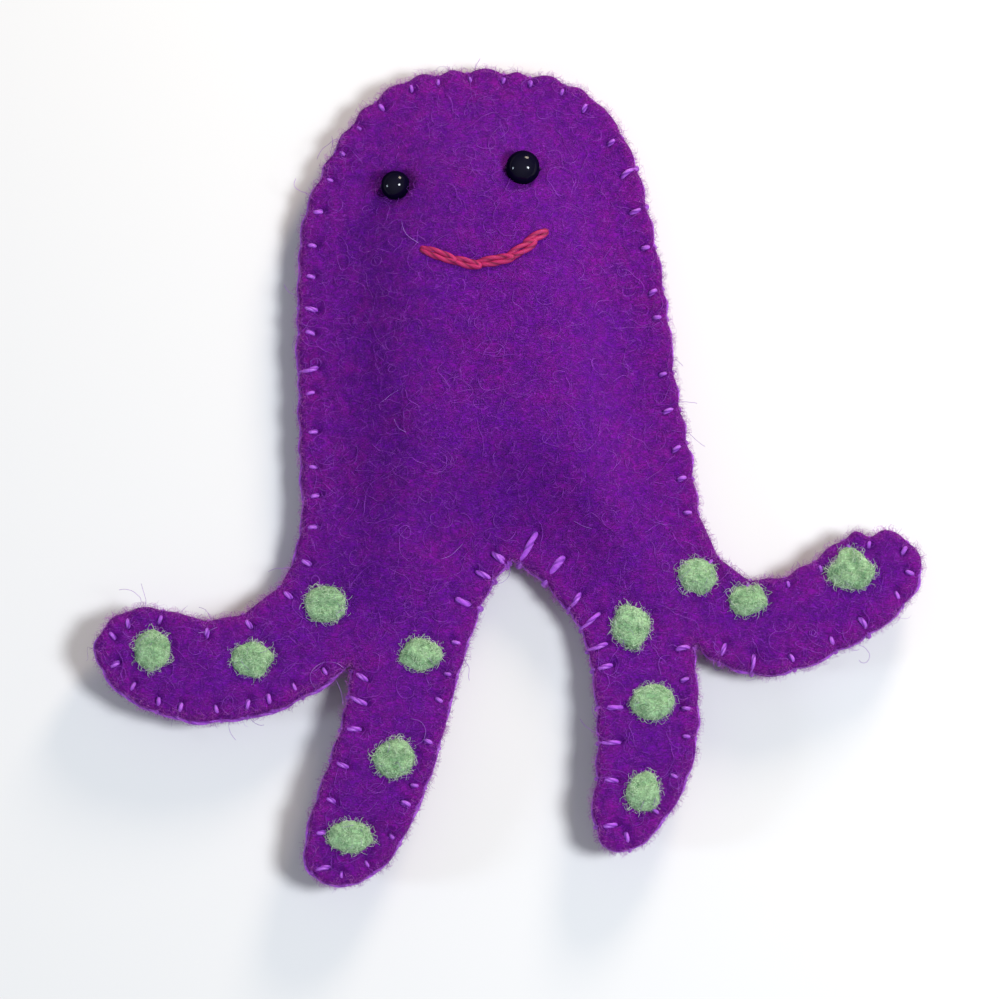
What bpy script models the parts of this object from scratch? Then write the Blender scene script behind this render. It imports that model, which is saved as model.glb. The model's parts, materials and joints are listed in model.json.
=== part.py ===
"""A wool felt octopus finger puppet, lying face up.

Two layers of felt are cut to one pattern and joined round their whole edge with blanket stitch. The front
layer is domed over the finger pocket, and the back layer has the finger opening. Twelve spots of green wool
are felted on to the limbs, two beads on one thread are the eyes, and a row of chain stitch is the mouth.

Sizes are in millimetres and are turned into metres once, when a mesh is made. +Z is up, +Y points to the
head, and the origin is on the table under the middle of the whole outline.
"""

import math

import bmesh
import bpy
import numpy as np
from mathutils import Vector
from mathutils.geometry import delaunay_2d_cdt

MM = 0.001

# Overall sizes of the pattern
BODY_WIDTH = 38.7
BODY_LENGTH = 51.1
LEG_LENGTH = 33.2
ARM_REACH = 22.6

# The felt and the pocket between its two layers
FELT_THICKNESS = 1.2
POCKET_HEIGHT = 5.6
POCKET_SLOPE = 9.5
POCKET_FADE = 7.0
LIMB_LIFT = 1.5
LIMB_LIFT_RUN = 24.0
CLEARANCE = 0.3

# The opening for the finger, cut through the back layer
OPENING_WIDTH = 19.0
OPENING_HEIGHT = 10.0
OPENING_ABOVE_CROTCH = 13.5

# The blanket stitch round the edge
THREAD_DIAMETER = 0.45
STITCH_PITCH = 3.3
STITCH_DEPTH = 2.2
SHORTEST_STITCH = 0.05
HEM_MARGIN = 0.9
RIM_SLOPE = 2.2
FLOOR_MARGIN = 0.05

# The face
LEFT_BEAD_DIAMETER = 2.9
RIGHT_BEAD_DIAMETER = 3.4
BEAD_BORE = 1.0
EYE_THREAD_DIAMETER = 0.4
NEEDLE_HOLE = 1.0
EYE_THREAD_TAIL = 3.5
DIMPLE_DEPTH = 0.6
DIMPLE_RADIUS = 3.4
MOUTH_THREAD_DIAMETER = 0.42
MOUTH_LINKS = 5
MOUTH_LINK_WIDTH = 1.25

# The wool spots
SPOT_THICKNESS = 0.9
SPOT_SHOULDER = 0.5
SPOT_CORNERS = 12

# How finely the surfaces are divided, and where their points go
CURVE_STEP = 0.4
RIM_SPACING = 2.6
RIM_BOW = 0.06
FRONT_SPACING = 2.6
BACK_SPACING = 4.4
CLEAR_SHARE = 0.4
HOLE_CORNERS = 6
OPENING_END_CORNERS = 8
DIMPLE_CORNERS = 10
INNER_DIMPLE_SHARE = 0.33
POCKET_RUN_POINTS = 7
BEAD_PROFILE_CORNERS = 9
BEAD_TURN_STEPS = 14
SHARP_ANGLE = math.radians(40)
SMALLEST_SLOT = 0.04
SPOT_SHOULDER_SHARE = 0.6

# The pattern as it is drawn below, before it is graded to the overall sizes
DRAWN_BODY_WIDTH = 38.7
DRAWN_BODY_MIDDLE = -2.05
DRAWN_BODY_LENGTH = 51.1
DRAWN_LEG_LENGTH = 33.2
DRAWN_ARM_REACH = 22.6
DRAWN_CROTCH = -9.0

# The outline runs anticlockwise from the top of the head, seen from above
HEAD_AND_LEFT_SIDE = (
    (1.1, 41.9),
    (-5.4, 42.1),
    (-10.7, 41.0),
    (-15.4, 37.5),
    (-18.9, 32.2),
    (-21.1, 26.1),
    (-21.6, 19.1),
    (-21.4, 3.7),
    (-21.4, -6.2),
)
LEFT_ARM = (
    (-22.3, -9.5),
    (-24.2, -11.9),
    (-27.2, -14.0),
    (-31.1, -14.5),
    (-35.0, -13.5),
    (-38.4, -13.7),
    (-41.2, -15.8),
    (-41.7, -18.9),
    (-39.9, -21.9),
    (-36.0, -24.5),
    (-31.1, -25.6),
    (-26.6, -25.3),
    (-22.9, -24.3),
    (-19.1, -22.1),
)
LEFT_LEG = (
    (-16.9, -19.7),
    (-16.0, -18.9),
    (-15.5, -19.8),
    (-16.2, -22.6),
    (-18.3, -29.5),
    (-20.4, -36.7),
    (-20.3, -40.4),
    (-16.9, -42.2),
    (-12.6, -40.4),
    (-9.0, -34.7),
    (-7.0, -29.5),
    (-5.4, -23.3),
    (-3.9, -18.1),
    (-1.6, -11.8),
)
NOTCH = (
    (-0.5, -9.6),
    (0.6, -9.0),
    (1.8, -9.7),
)
RIGHT_LEG = (
    (4.4, -12.5),
    (7.0, -16.0),
    (8.4, -22.2),
    (8.6, -29.5),
    (8.3, -35.3),
    (9.2, -37.9),
    (11.7, -38.8),
    (15.1, -36.4),
    (18.2, -31.5),
    (19.4, -26.4),
    (19.2, -21.4),
    (18.5, -18.6),
)
RIGHT_ARM = (
    (18.9, -17.6),
    (20.1, -18.2),
    (22.5, -19.9),
    (25.6, -20.9),
    (29.8, -20.2),
    (33.2, -18.6),
    (36.4, -17.0),
    (39.4, -14.7),
    (41.5, -11.9),
    (42.0, -9.2),
    (40.9, -7.0),
    (38.3, -5.6),
    (34.8, -5.7),
    (32.2, -7.4),
    (29.4, -9.3),
    (26.2, -10.4),
    (23.5, -9.9),
)
RIGHT_SIDE = (
    (21.4, -7.8),
    (20.2, -5.4),
    (18.9, 1.6),
    (17.3, 10.0),
    (16.4, 17.9),
    (14.8, 26.4),
    (12.7, 33.8),
    (10.9, 36.9),
    (6.7, 40.6),
)
OUTLINE = HEAD_AND_LEFT_SIDE + LEFT_ARM + LEFT_LEG + NOTCH + RIGHT_LEG + RIGHT_ARM + RIGHT_SIDE

LEFT_EYE = (-11.4, 29.1)
RIGHT_EYE = (1.3, 30.5)
MOUTH_LINE = (
    (-8.8, 22.9),
    (-6.8, 21.6),
    (-3.4, 20.6),
    (-0.7, 21.3),
    (1.6, 22.5),
    (3.9, 24.1),
)

# Each spot's middle, then its width and height
SPOTS = {
    "spot_left_arm_outer": ((-35.8, -18.1), (3.9, 4.6)),
    "spot_left_arm_middle": ((-25.8, -19.0), (4.3, 4.1)),
    "spot_left_arm_inner": ((-18.4, -13.6), (4.7, 4.0)),
    "spot_left_leg_upper": ((-8.8, -18.5), (4.7, 3.5)),
    "spot_left_leg_middle": ((-11.4, -29.1), (4.6, 4.4)),
    "spot_left_leg_tip": ((-15.8, -37.0), (4.8, 3.6)),
    "spot_right_leg_upper": ((12.4, -15.9), (4.3, 4.7)),
    "spot_right_leg_middle": ((14.5, -23.4), (4.9, 3.9)),
    "spot_right_leg_tip": ((13.5, -32.6), (3.8, 4.3)),
    "spot_right_arm_inner": ((19.1, -10.9), (4.1, 4.1)),
    "spot_right_arm_middle": ((24.3, -13.8), (4.2, 3.5)),
    "spot_right_arm_outer": ((34.6, -10.3), (5.2, 4.5)),
}

# Values that follow from the sizes above
RIM_LIFT = CLEARANCE + THREAD_DIAMETER + FLOOR_MARGIN
FELT_INSET = THREAD_DIAMETER + CLEARANCE
HEM = STITCH_DEPTH + HEM_MARGIN
CROWN = POCKET_HEIGHT - RIM_LIFT - CLEARANCE
SEAM_LEVEL = RIM_LIFT + FELT_THICKNESS + CLEARANCE / 2


def ease(share):
    """A smooth step from 0 to 1 as share goes from 0 to 1."""
    share = np.clip(share, 0.0, 1.0)
    return share * share * (3.0 - 2.0 * share)


def graded(point):
    """A point of the drawn pattern, moved to suit the overall sizes."""
    from_middle = point[0] - DRAWN_BODY_MIDDLE
    within_side = min(abs(from_middle), DRAWN_BODY_WIDTH / 2)
    beyond_side = abs(from_middle) - within_side
    across = within_side * BODY_WIDTH / DRAWN_BODY_WIDTH + beyond_side * ARM_REACH / DRAWN_ARM_REACH
    above_crotch = point[1] - DRAWN_CROTCH
    stretch = BODY_LENGTH / DRAWN_BODY_LENGTH if above_crotch > 0 else LEG_LENGTH / DRAWN_LEG_LENGTH
    return np.array((math.copysign(across, from_middle), above_crotch * stretch))


def aim(before, point, after):
    """The direction at a point of the circle through it and the points on both sides."""
    arriving = point - before
    leaving = after - point
    direction = arriving / max(arriving @ arriving, 1e-9) + leaving / max(leaving @ leaving, 1e-9)
    return direction / np.hypot(*direction)


def smooth_line(points, closed):
    """Points about CURVE_STEP apart on a smooth curve through the given ones."""
    count = len(points)
    if closed:
        aims = [aim(points[i - 1], points[i], points[(i + 1) % count]) for i in range(count)]
    else:
        ends = [points[0] * 2 - points[1], *points, points[-1] * 2 - points[-2]]
        aims = [aim(ends[i], ends[i + 1], ends[i + 2]) for i in range(count)]
    traced = []
    for index in range(count if closed else count - 1):
        start, end = points[index], points[(index + 1) % count]
        reach = np.hypot(*(end - start))
        steps = max(2, round(reach / CURVE_STEP))
        for step in range(steps):
            share = step / steps
            traced.append(
                (2 * share**3 - 3 * share**2 + 1) * start
                + (3 * share**2 - 2 * share**3) * end
                + (share**3 - 2 * share**2 + share) * reach * aims[index]
                + (share**3 - share**2) * reach * aims[(index + 1) % count]
            )
    if not closed:
        traced.append(points[-1])
    return np.array(traced)


def inward_normals(loop):
    """At each point of an anticlockwise loop, the unit direction that points into it."""
    along = np.roll(loop, -1, axis=0) - np.roll(loop, 1, axis=0)
    along /= np.hypot(*along.T)[:, None]
    return np.stack([-along[:, 1], along[:, 0]], axis=1)


def stations(loop, places):
    """Points and inward normals at the given distances round a closed loop."""
    closed = np.vstack([loop, loop[:1]])
    travelled = np.concatenate([[0.0], np.cumsum(np.hypot(*np.diff(closed, axis=0).T))])
    normals = inward_normals(loop)
    normals = np.vstack([normals, normals[:1]])
    places = np.mod(places, travelled[-1])
    points = np.stack([np.interp(places, travelled, closed[:, axis]) for axis in (0, 1)], axis=1)
    facing = np.stack([np.interp(places, travelled, normals[:, axis]) for axis in (0, 1)], axis=1)
    return points, facing / np.hypot(*facing.T)[:, None]


def length_of(loop):
    """The length round a closed loop."""
    return np.hypot(*(np.roll(loop, -1, axis=0) - loop).T).sum()


def inset_loop(loop, amount, spacing):
    """Points about spacing apart on a closed loop, moved inwards by amount."""
    whole = length_of(loop)
    count = round(whole / spacing)
    points, facing = stations(loop, np.arange(count) * whole / count)
    return points + facing * amount


def thinned(loop, spacing):
    """The points of a finely drawn loop that its shape needs: fewer where it is nearly straight."""
    kept = [0]
    index = 2
    while index < len(loop):
        chord = loop[index] - loop[kept[-1]]
        skipped = loop[kept[-1] + 1 : index] - loop[kept[-1]]
        bow = np.abs(skipped[:, 0] * chord[1] - skipped[:, 1] * chord[0]).max() / np.hypot(*chord)
        if bow > RIM_BOW or np.hypot(*chord) > spacing:
            kept.append(index - 1)
        index += 1
    return loop[kept]


def distance_to(loop, points):
    """How far each point lies from the nearest side of a closed loop."""
    along = np.roll(loop, -1, axis=0) - loop
    from_start = points[:, None] - loop
    share = np.clip((from_start * along).sum(-1) / (along**2).sum(-1), 0.0, 1.0)
    offset = from_start - share[..., None] * along
    return np.sqrt((offset**2).sum(-1)).min(axis=1)


def inside(loop, points):
    """Whether each point lies inside a closed loop, by counting the sides to its right."""
    ends = np.roll(loop, -1, axis=0)
    spans = (loop[:, 1] > points[:, None, 1]) != (ends[:, 1] > points[:, None, 1])
    rise = np.where(ends[:, 1] == loop[:, 1], 1.0, ends[:, 1] - loop[:, 1])
    crossing = loop[:, 0] + (points[:, None, 1] - loop[:, 1]) / rise * (ends[:, 0] - loop[:, 0])
    return (spans & (crossing > points[:, None, 0])).sum(axis=1) % 2 == 1


def round_loop(middle, radius, corners):
    """A regular polygon that a circle of the given radius fits inside."""
    angles = np.arange(corners) * 2 * math.pi / corners
    reach = radius / math.cos(math.pi / corners)
    return middle + reach * np.stack([np.cos(angles), np.sin(angles)], axis=1)


# The finished outline, thread included, moved so that the origin is under its middle
drawn_loop = smooth_line([graded(point) for point in OUTLINE], closed=True)
TO_MIDDLE = -(drawn_loop.min(axis=0) + drawn_loop.max(axis=0)) / 2
SILHOUETTE = drawn_loop + TO_MIDDLE
FELT_EDGE = inset_loop(SILHOUETTE, FELT_INSET, CURVE_STEP)
BODY_MIDDLE_X = TO_MIDDLE[0]
CROTCH_Y = TO_MIDDLE[1]


def placed(point):
    """A point of the drawn pattern in the finished part's own place."""
    return graded(point) + TO_MIDDLE


EYES = {
    "left": (placed(LEFT_EYE), LEFT_BEAD_DIAMETER / 2),
    "right": (placed(RIGHT_EYE), RIGHT_BEAD_DIAMETER / 2),
}


def beyond_body(points):
    """How far each point lies outside the body, past its sides or below the crotch."""
    past_side = np.maximum(np.abs(points[:, 0] - BODY_MIDDLE_X) - BODY_WIDTH / 2, 0.0)
    below_crotch = np.maximum(CROTCH_Y - points[:, 1], 0.0)
    return np.hypot(past_side, below_crotch)


def limb_lift(points):
    """How far the limbs rise off the table towards their tips."""
    return LIMB_LIFT * ease(beyond_body(points) / LIMB_LIFT_RUN)


def back_underside(points):
    """The underside of the back layer: flat on the table, and raised where the stitches pass under it."""
    slope = ease((distance_to(FELT_EDGE, points) - HEM) / RIM_SLOPE)
    return RIM_LIFT * (1.0 - slope) + limb_lift(points)


def back_top(points):
    """The side of the back layer that faces the pocket."""
    return back_underside(points) + FELT_THICKNESS


def dimples(points):
    """How deep the beads are drawn into the front layer."""
    depth = np.zeros(len(points))
    for middle, _ in EYES.values():
        reach = np.hypot(*(points - middle).T) / DIMPLE_RADIUS
        depth += DIMPLE_DEPTH * (1.0 - ease(reach))
    return depth


def front_underside(points):
    """The side of the front layer that faces the pocket, domed over the body."""
    slope = ease((distance_to(FELT_EDGE, points) - HEM) / POCKET_SLOPE)
    over_body = 1.0 - ease(beyond_body(points) / POCKET_FADE)
    dome = CROWN * slope * over_body
    return RIM_LIFT + FELT_THICKNESS + CLEARANCE + limb_lift(points) + dome - dimples(points)


def front_top(points):
    """The face of the puppet."""
    return front_underside(points) + FELT_THICKNESS


def height_at(surface, point):
    """The height of a surface at one point."""
    return float(surface(np.array([point]))[0])


def linear_colour(red, green, blue):
    """A colour given as 0 to 255, as the linear values that a shader takes."""
    shares = [channel / 255 for channel in (red, green, blue)]
    curve = [share / 12.92 if share <= 0.04045 else ((share + 0.055) / 1.055) ** 2.4 for share in shares]
    return (*curve, 1.0)


def finish(name, colour, roughness):
    """A plain material for one kind of piece."""
    material = bpy.data.materials.new(name)
    material.use_nodes = True
    shader = material.node_tree.nodes["Principled BSDF"]
    shader.inputs["Base Color"].default_value = linear_colour(*colour)
    shader.inputs["Roughness"].default_value = roughness
    shader.inputs["Metallic"].default_value = 0.0
    material.diffuse_color = linear_colour(*colour)
    return material


def solid(name, points, faces, material):
    """A named object from points in millimetres, with its faces turned outwards."""
    mesh = bpy.data.meshes.new(name)
    mesh.from_pydata([Vector(point) * MM for point in points], [], faces)
    shape = bmesh.new()
    shape.from_mesh(mesh)
    bmesh.ops.recalc_face_normals(shape, faces=shape.faces)
    shape.to_mesh(mesh)
    shape.free()
    mesh.materials.append(material)
    piece = bpy.data.objects.new(name, mesh)
    bpy.context.scene.collection.objects.link(piece)
    return piece


def spaced(points, gap):
    """The points in their order, without those that come within the gap of an earlier one."""
    kept = [points[0]]
    for point in points[1:]:
        if np.hypot(*(np.array(kept) - point).T).min() > gap:
            kept.append(point)
    return np.array(kept)


def inner_points(rim, holes, spacing, extra):
    """A triangular grid of points inside the rim, a row along the hem, and any extra points."""
    low, high = rim.min(axis=0), rim.max(axis=0)
    row_height = spacing * math.sqrt(3) / 2
    grid = []
    for row in range(math.ceil((high[1] - low[1]) / row_height)):
        start = low[0] + (row % 2) * spacing / 2
        grid += [(x, low[1] + row * row_height) for x in np.arange(start, high[0], spacing)]
    grid = np.array(grid)
    depth = distance_to(FELT_EDGE, grid)
    clear = spacing * CLEAR_SHARE
    grid = grid[inside(rim, grid) & (depth > HEM + clear)]
    hem_row = inset_loop(SILHOUETTE, FELT_INSET + HEM, CURVE_STEP)
    hem_row = hem_row[inside(rim, hem_row) & (distance_to(FELT_EDGE, hem_row) > HEM - CLEARANCE / 2)]
    points = np.vstack([grid, spaced(hem_row, RIM_SPACING)])
    for point in extra:
        points = points[np.hypot(*(points - point).T) > clear]
    points = np.vstack([points, *extra])
    for hole in holes:
        points = points[~inside(hole, points) & (distance_to(hole, points) > clear / 2)]
    return points


def sheet(name, rim, holes, inner, lower, upper, material):
    """A closed solid between two surfaces, within the rim loop and outside the holes."""
    loops = [rim, *holes]
    edges = []
    first = 0
    for loop in loops:
        edges += [(first + i, first + (i + 1) % len(loop)) for i in range(len(loop))]
        first += len(loop)
    flat_points = [Vector(point) for point in np.vstack([*loops, inner])]
    found = delaunay_2d_cdt(flat_points, edges, [], 0, 1e-7)
    flat = np.array([tuple(point) for point in found[0]])
    triangles = np.array(found[2])
    middles = flat[triangles].mean(axis=1)
    kept = inside(rim, middles)
    for hole in holes:
        kept &= ~inside(hole, middles)
    triangles = triangles[kept]
    used = np.unique(triangles)
    place_of = np.full(len(flat), -1)
    place_of[used] = np.arange(len(used))
    triangles = place_of[triangles]
    flat = flat[used]
    count = len(flat)
    low = np.column_stack([flat, lower(flat)])
    high = np.column_stack([flat, upper(flat)])
    sides = {(int(t[i]), int(t[(i + 1) % 3])) for t in triangles for i in range(3)}
    border = sorted(side for side in sides if (side[1], side[0]) not in sides)
    faces = [tuple(int(i) + count for i in t) for t in triangles]
    faces += [tuple(int(i) for i in t[::-1]) for t in triangles]
    faces += [(a, b, b + count, a + count) for a, b in border]
    return solid(name, np.vstack([low, high]), faces, material)


def opening_loop():
    """The finger opening: a slot with round ends, across the back above the crotch."""
    radius = OPENING_HEIGHT / 2
    straight = OPENING_WIDTH / 2 - radius
    middle = np.array((BODY_MIDDLE_X, CROTCH_Y + OPENING_ABOVE_CROTCH))
    turns = np.linspace(-math.pi / 2, math.pi / 2, OPENING_END_CORNERS)
    right = np.stack([straight + radius * np.cos(turns), radius * np.sin(turns)], axis=1)
    return np.vstack([middle + right, middle - right])


def needle_holes():
    """Where the eye thread goes through the front layer, a hole on each side of each bead."""
    places = []
    for middle, radius in EYES.values():
        beside = radius + CLEARANCE + EYE_THREAD_DIAMETER / 2
        places += [middle - (beside, 0.0), middle + (beside, 0.0)]
    return places


def make_back_panel(felt):
    """The back layer, with the finger opening."""
    rim = thinned(FELT_EDGE, RIM_SPACING)
    opening = opening_loop()
    inner = inner_points(rim, [opening], BACK_SPACING, [])
    return sheet("back_panel", rim, [opening], inner, back_underside, back_top, felt)


def make_front_panel(felt):
    """The front layer, with a dimple under each bead and the four holes of the eye thread."""
    rim = thinned(FELT_EDGE, RIM_SPACING)
    holes = [round_loop(place, NEEDLE_HOLE / 2, HOLE_CORNERS) for place in needle_holes()]
    dimple_points = []
    for middle, _ in EYES.values():
        dimple_points.append(middle)
        dimple_points += list(round_loop(middle, DIMPLE_RADIUS, DIMPLE_CORNERS))
        dimple_points += list(round_loop(middle, DIMPLE_RADIUS * INNER_DIMPLE_SHARE, DIMPLE_CORNERS // 2))
    inner = inner_points(rim, holes, FRONT_SPACING, dimple_points)
    return sheet("front_panel", rim, holes, inner, front_underside, front_top, felt)


def stitch_depth(rim_point, inward):
    """How far a stitch reaches in from the felt's edge, stopping short of any spot."""
    depth = STITCH_DEPTH
    while depth > SHORTEST_STITCH and near_spot(rim_point + inward * (FELT_INSET + depth)):
        depth = max(depth - THREAD_DIAMETER, SHORTEST_STITCH)
    return depth


def near_spot(point):
    """Whether a stitch that ends at this point would touch a spot."""
    spare = CLEARANCE + THREAD_DIAMETER / 2
    for middle, (width, height) in SPOTS.values():
        across, up = (point - placed(middle)) / (width / 2 + spare, height / 2 + spare)
        if math.hypot(across, up) < 1:
            return True
    return False


def make_seam_thread(yarn):
    """The blanket stitch: a strand along the edge, and legs over the front and under the back.

    The strand has a square section, and each leg grows from its top or bottom face, so it is one solid.
    The needle's way through the felt is left out, because the legs are all that shows.
    """
    whole = length_of(SILHOUETTE)
    count = round(whole / STITCH_PITCH)
    pitch = whole / count
    half_width = THREAD_DIAMETER / 2
    offsets = (-half_width, half_width, pitch / 2)
    places = np.array([stitch * pitch + offset for stitch in range(count) for offset in offsets])
    rims, inwards = stations(SILHOUETTE, places)
    seam_level = SEAM_LEVEL + limb_lift(rims)
    points = []
    faces = []
    for rim, inward, level in zip(rims, inwards, seam_level):
        within = rim + inward * THREAD_DIAMETER
        points.append((*rim, level - half_width))
        points.append((*within, level - half_width))
        points.append((*within, level + half_width))
        points.append((*rim, level + half_width))
    for here in range(len(rims)):
        this, following = here * 4, (here + 1) % len(rims) * 4
        sides = (1, 3) if here % len(offsets) == 0 else range(4)
        for side in sides:
            other = (side + 1) % 4
            faces.append((this + side, this + other, following + other, following + side))
    for stitch in range(count):
        pair = (stitch * len(offsets), stitch * len(offsets) + 1)
        depth = stitch_depth(rims[pair[0]], inwards[pair[0]])
        for top in (True, False):
            add_leg(points, faces, pair, rims, inwards, depth, top)
    return solid("seam_thread", points, faces, yarn)


def add_leg(points, faces, pair, rims, inwards, depth, top):
    """One leg of a stitch, from the strand's top or bottom face round the felt's edge and inwards."""
    outer, inner = (3, 2) if top else (0, 1)
    away = 1 if top else -1
    surface = front_top if top else back_underside
    row = [pair[0] * 4 + outer, pair[0] * 4 + inner, pair[1] * 4 + inner, pair[1] * 4 + outer]
    bend = (0.0, THREAD_DIAMETER, FELT_INSET)
    needle_end = (FELT_INSET + depth, FELT_INSET + depth, FELT_INSET + depth)
    for outer_inset, inner_inset, measured_at in (bend, needle_end):
        first = len(points)
        for which, inset, beyond in (
            (pair[0], outer_inset, THREAD_DIAMETER),
            (pair[0], inner_inset, 0.0),
            (pair[1], inner_inset, 0.0),
            (pair[1], outer_inset, THREAD_DIAMETER),
        ):
            level = height_at(surface, rims[which] + inwards[which] * measured_at)
            place = rims[which] + inwards[which] * inset
            points.append((*place, level + away * (CLEARANCE + beyond)))
        new_row = list(range(first, first + 4))
        faces += [(row[i], row[(i + 1) % 4], new_row[(i + 1) % 4], new_row[i]) for i in range(4)]
        row = new_row
    faces.append(tuple(row))


def make_bead(name, middle, radius, glass):
    """A round bead with its bore lying across the face, turned about that bore."""
    bore = BEAD_BORE / 2
    first = math.asin(bore / radius)
    angles = np.linspace(first, math.pi - first, BEAD_PROFILE_CORNERS)
    profile = [(radius * math.cos(angle), 0.0, radius * math.sin(angle)) for angle in angles]
    shape = bmesh.new()
    corners = [shape.verts.new(Vector(point) * MM) for point in profile]
    ring = [shape.edges.new((corners[i], corners[(i + 1) % len(corners)])) for i in range(len(corners))]
    bmesh.ops.spin(
        shape,
        geom=corners + ring,
        cent=(0.0, 0.0, 0.0),
        axis=(1.0, 0.0, 0.0),
        angle=2 * math.pi,
        steps=BEAD_TURN_STEPS,
        use_merge=True,
    )
    bmesh.ops.remove_doubles(shape, verts=shape.verts, dist=1e-7)
    bmesh.ops.recalc_face_normals(shape, faces=shape.faces)
    mesh = bpy.data.meshes.new(name)
    shape.to_mesh(mesh)
    shape.free()
    mesh.shade_smooth()
    mesh.set_sharp_from_angle(angle=SHARP_ANGLE)
    mesh.materials.append(glass)
    bead = bpy.data.objects.new(name, mesh)
    bead.location = Vector((*middle, bead_height(middle, radius))) * MM
    bpy.context.scene.collection.objects.link(bead)
    return bead


def bead_height(middle, radius):
    """The height of a bead's middle, where its underside just clears the felt below it."""
    heights = [height_at(front_top, middle) + radius]
    for out in (0.3, 0.6, 0.85):
        for angle in np.arange(12) * math.pi / 6:
            beside = middle + out * radius * np.array((math.cos(angle), math.sin(angle)))
            heights.append(height_at(front_top, beside) + radius * math.sqrt(1.0 - out**2))
    return max(heights) + CLEARANCE


def make_eye_thread(yarn):
    """One strand: up beside a bead, through its bore, down, along inside the pocket, and on to the next."""
    behind = CLEARANCE + EYE_THREAD_DIAMETER / 2
    holes = needle_holes()

    def inside_pocket(start, end):
        run = [start + (end - start) * share for share in np.linspace(0.0, 1.0, POCKET_RUN_POINTS)]
        return [(*place, height_at(front_underside, place) - behind) for place in run]

    tail = np.array((0.0, -EYE_THREAD_TAIL))
    route = inside_pocket(holes[0] + tail, holes[0])
    for index, (middle, radius) in enumerate(EYES.values()):
        level = bead_height(middle, radius)
        route += [(*holes[2 * index], level), (*holes[2 * index + 1], level)]
        following = holes[2] if index == 0 else holes[3] + tail
        route += inside_pocket(holes[2 * index + 1], following)
    curve = bpy.data.curves.new("eye_thread", "CURVE")
    curve.dimensions = "3D"
    curve.bevel_depth = EYE_THREAD_DIAMETER / 2 * MM
    curve.bevel_resolution = 1
    curve.use_fill_caps = True
    strand = curve.splines.new("POLY")
    strand.points.add(len(route) - 1)
    for point, place in zip(strand.points, route):
        point.co = (*(Vector(place) * MM), 1.0)
    curve.materials.append(yarn)
    thread = bpy.data.objects.new("eye_thread", curve)
    bpy.context.scene.collection.objects.link(thread)
    return thread


def make_mouth_thread(yarn):
    """The smile: a row of chain stitch, each link a loop of one strand that opens in its middle."""
    line = smooth_line([placed(point) for point in MOUTH_LINE], closed=False)
    along = np.gradient(line, axis=0)
    along /= np.hypot(*along.T)[:, None]
    across = np.stack([-along[:, 1], along[:, 0]], axis=1)
    travelled = np.concatenate([[0.0], np.cumsum(np.hypot(*np.diff(line, axis=0).T))])
    share = travelled / travelled[-1]
    half = MOUTH_THREAD_DIAMETER / 2
    spread = (MOUTH_LINK_WIDTH / 2 - half) * np.abs(np.sin(math.pi * MOUTH_LINKS * share))
    outer = np.maximum(spread + half, half * 1.2)[:, None]
    rim = np.vstack([line - across * outer, (line + across * outer)[::-1]])
    holes = []
    for link in range(MOUTH_LINKS):
        in_link = (share > link / MOUTH_LINKS) & (share < (link + 1) / MOUTH_LINKS)
        within = in_link & (spread > half + SMALLEST_SLOT)
        gap = (spread[within] - half)[:, None]
        if within.sum() > 1:
            near_side = line[within] - across[within] * gap
            far_side = line[within] + across[within] * gap
            holes.append(np.vstack([near_side, far_side[::-1]]))

    def seat(points):
        return front_top(points) + CLEARANCE

    def crest(points):
        return seat(points) + MOUTH_THREAD_DIAMETER

    return sheet("mouth_thread", rim, holes, np.empty((0, 2)), seat, crest, yarn)


def make_spot(name, drawn_middle, size, wool):
    """A low dome of wool that follows the front layer, with a rounded shoulder."""
    middle = placed(drawn_middle)
    angles = np.arange(SPOT_CORNERS) * 2 * math.pi / SPOT_CORNERS
    rim = middle + np.stack([np.cos(angles), np.sin(angles)], axis=1) * np.array(size) / 2
    shoulder = middle + (rim - middle) * SPOT_SHOULDER_SHARE
    inner = np.vstack([middle, shoulder])

    def seat(points):
        return front_top(points) + CLEARANCE

    def crest(points):
        out = np.sqrt((((points - middle) / (np.array(size) / 2)) ** 2).sum(axis=1))
        return seat(points) + SPOT_SHOULDER + (SPOT_THICKNESS - SPOT_SHOULDER) * (1.0 - ease(out))

    return sheet(name, rim, [], inner, seat, crest, wool)


def main():
    for leftover in list(bpy.data.objects):
        bpy.data.objects.remove(leftover)
    purple_felt = finish("purple_felt", (100, 22, 135), 0.95)
    lilac_thread = finish("lilac_thread", (165, 85, 220), 0.7)
    green_wool = finish("green_wool", (160, 205, 115), 0.95)
    red_thread = finish("red_thread", (215, 50, 75), 0.7)
    black_thread = finish("black_thread", (25, 20, 28), 0.7)
    black_glass = finish("black_glass", (6, 6, 8), 0.08)
    make_back_panel(purple_felt)
    make_front_panel(purple_felt)
    make_seam_thread(lilac_thread)
    for side, (middle, radius) in EYES.items():
        make_bead(f"eye_bead_{side}", middle, radius, black_glass)
    make_eye_thread(black_thread)
    make_mouth_thread(red_thread)
    for name, (middle, size) in SPOTS.items():
        make_spot(name, middle, size, green_wool)


main()
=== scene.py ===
# %% [markdown]
# # A felt octopus finger puppet
#
# The real puppet is two layers of purple wool felt, sewn together round the edge with lilac blanket
# stitch. It has bead eyes, a chain stitch smile and twelve green wool spots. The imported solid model
# says where each piece lies and how large it is. This lesson gives every piece its real surface:
# felt with dents where the thread pulls it, twisted thread, glass, and thousands of loose fibres.

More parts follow.
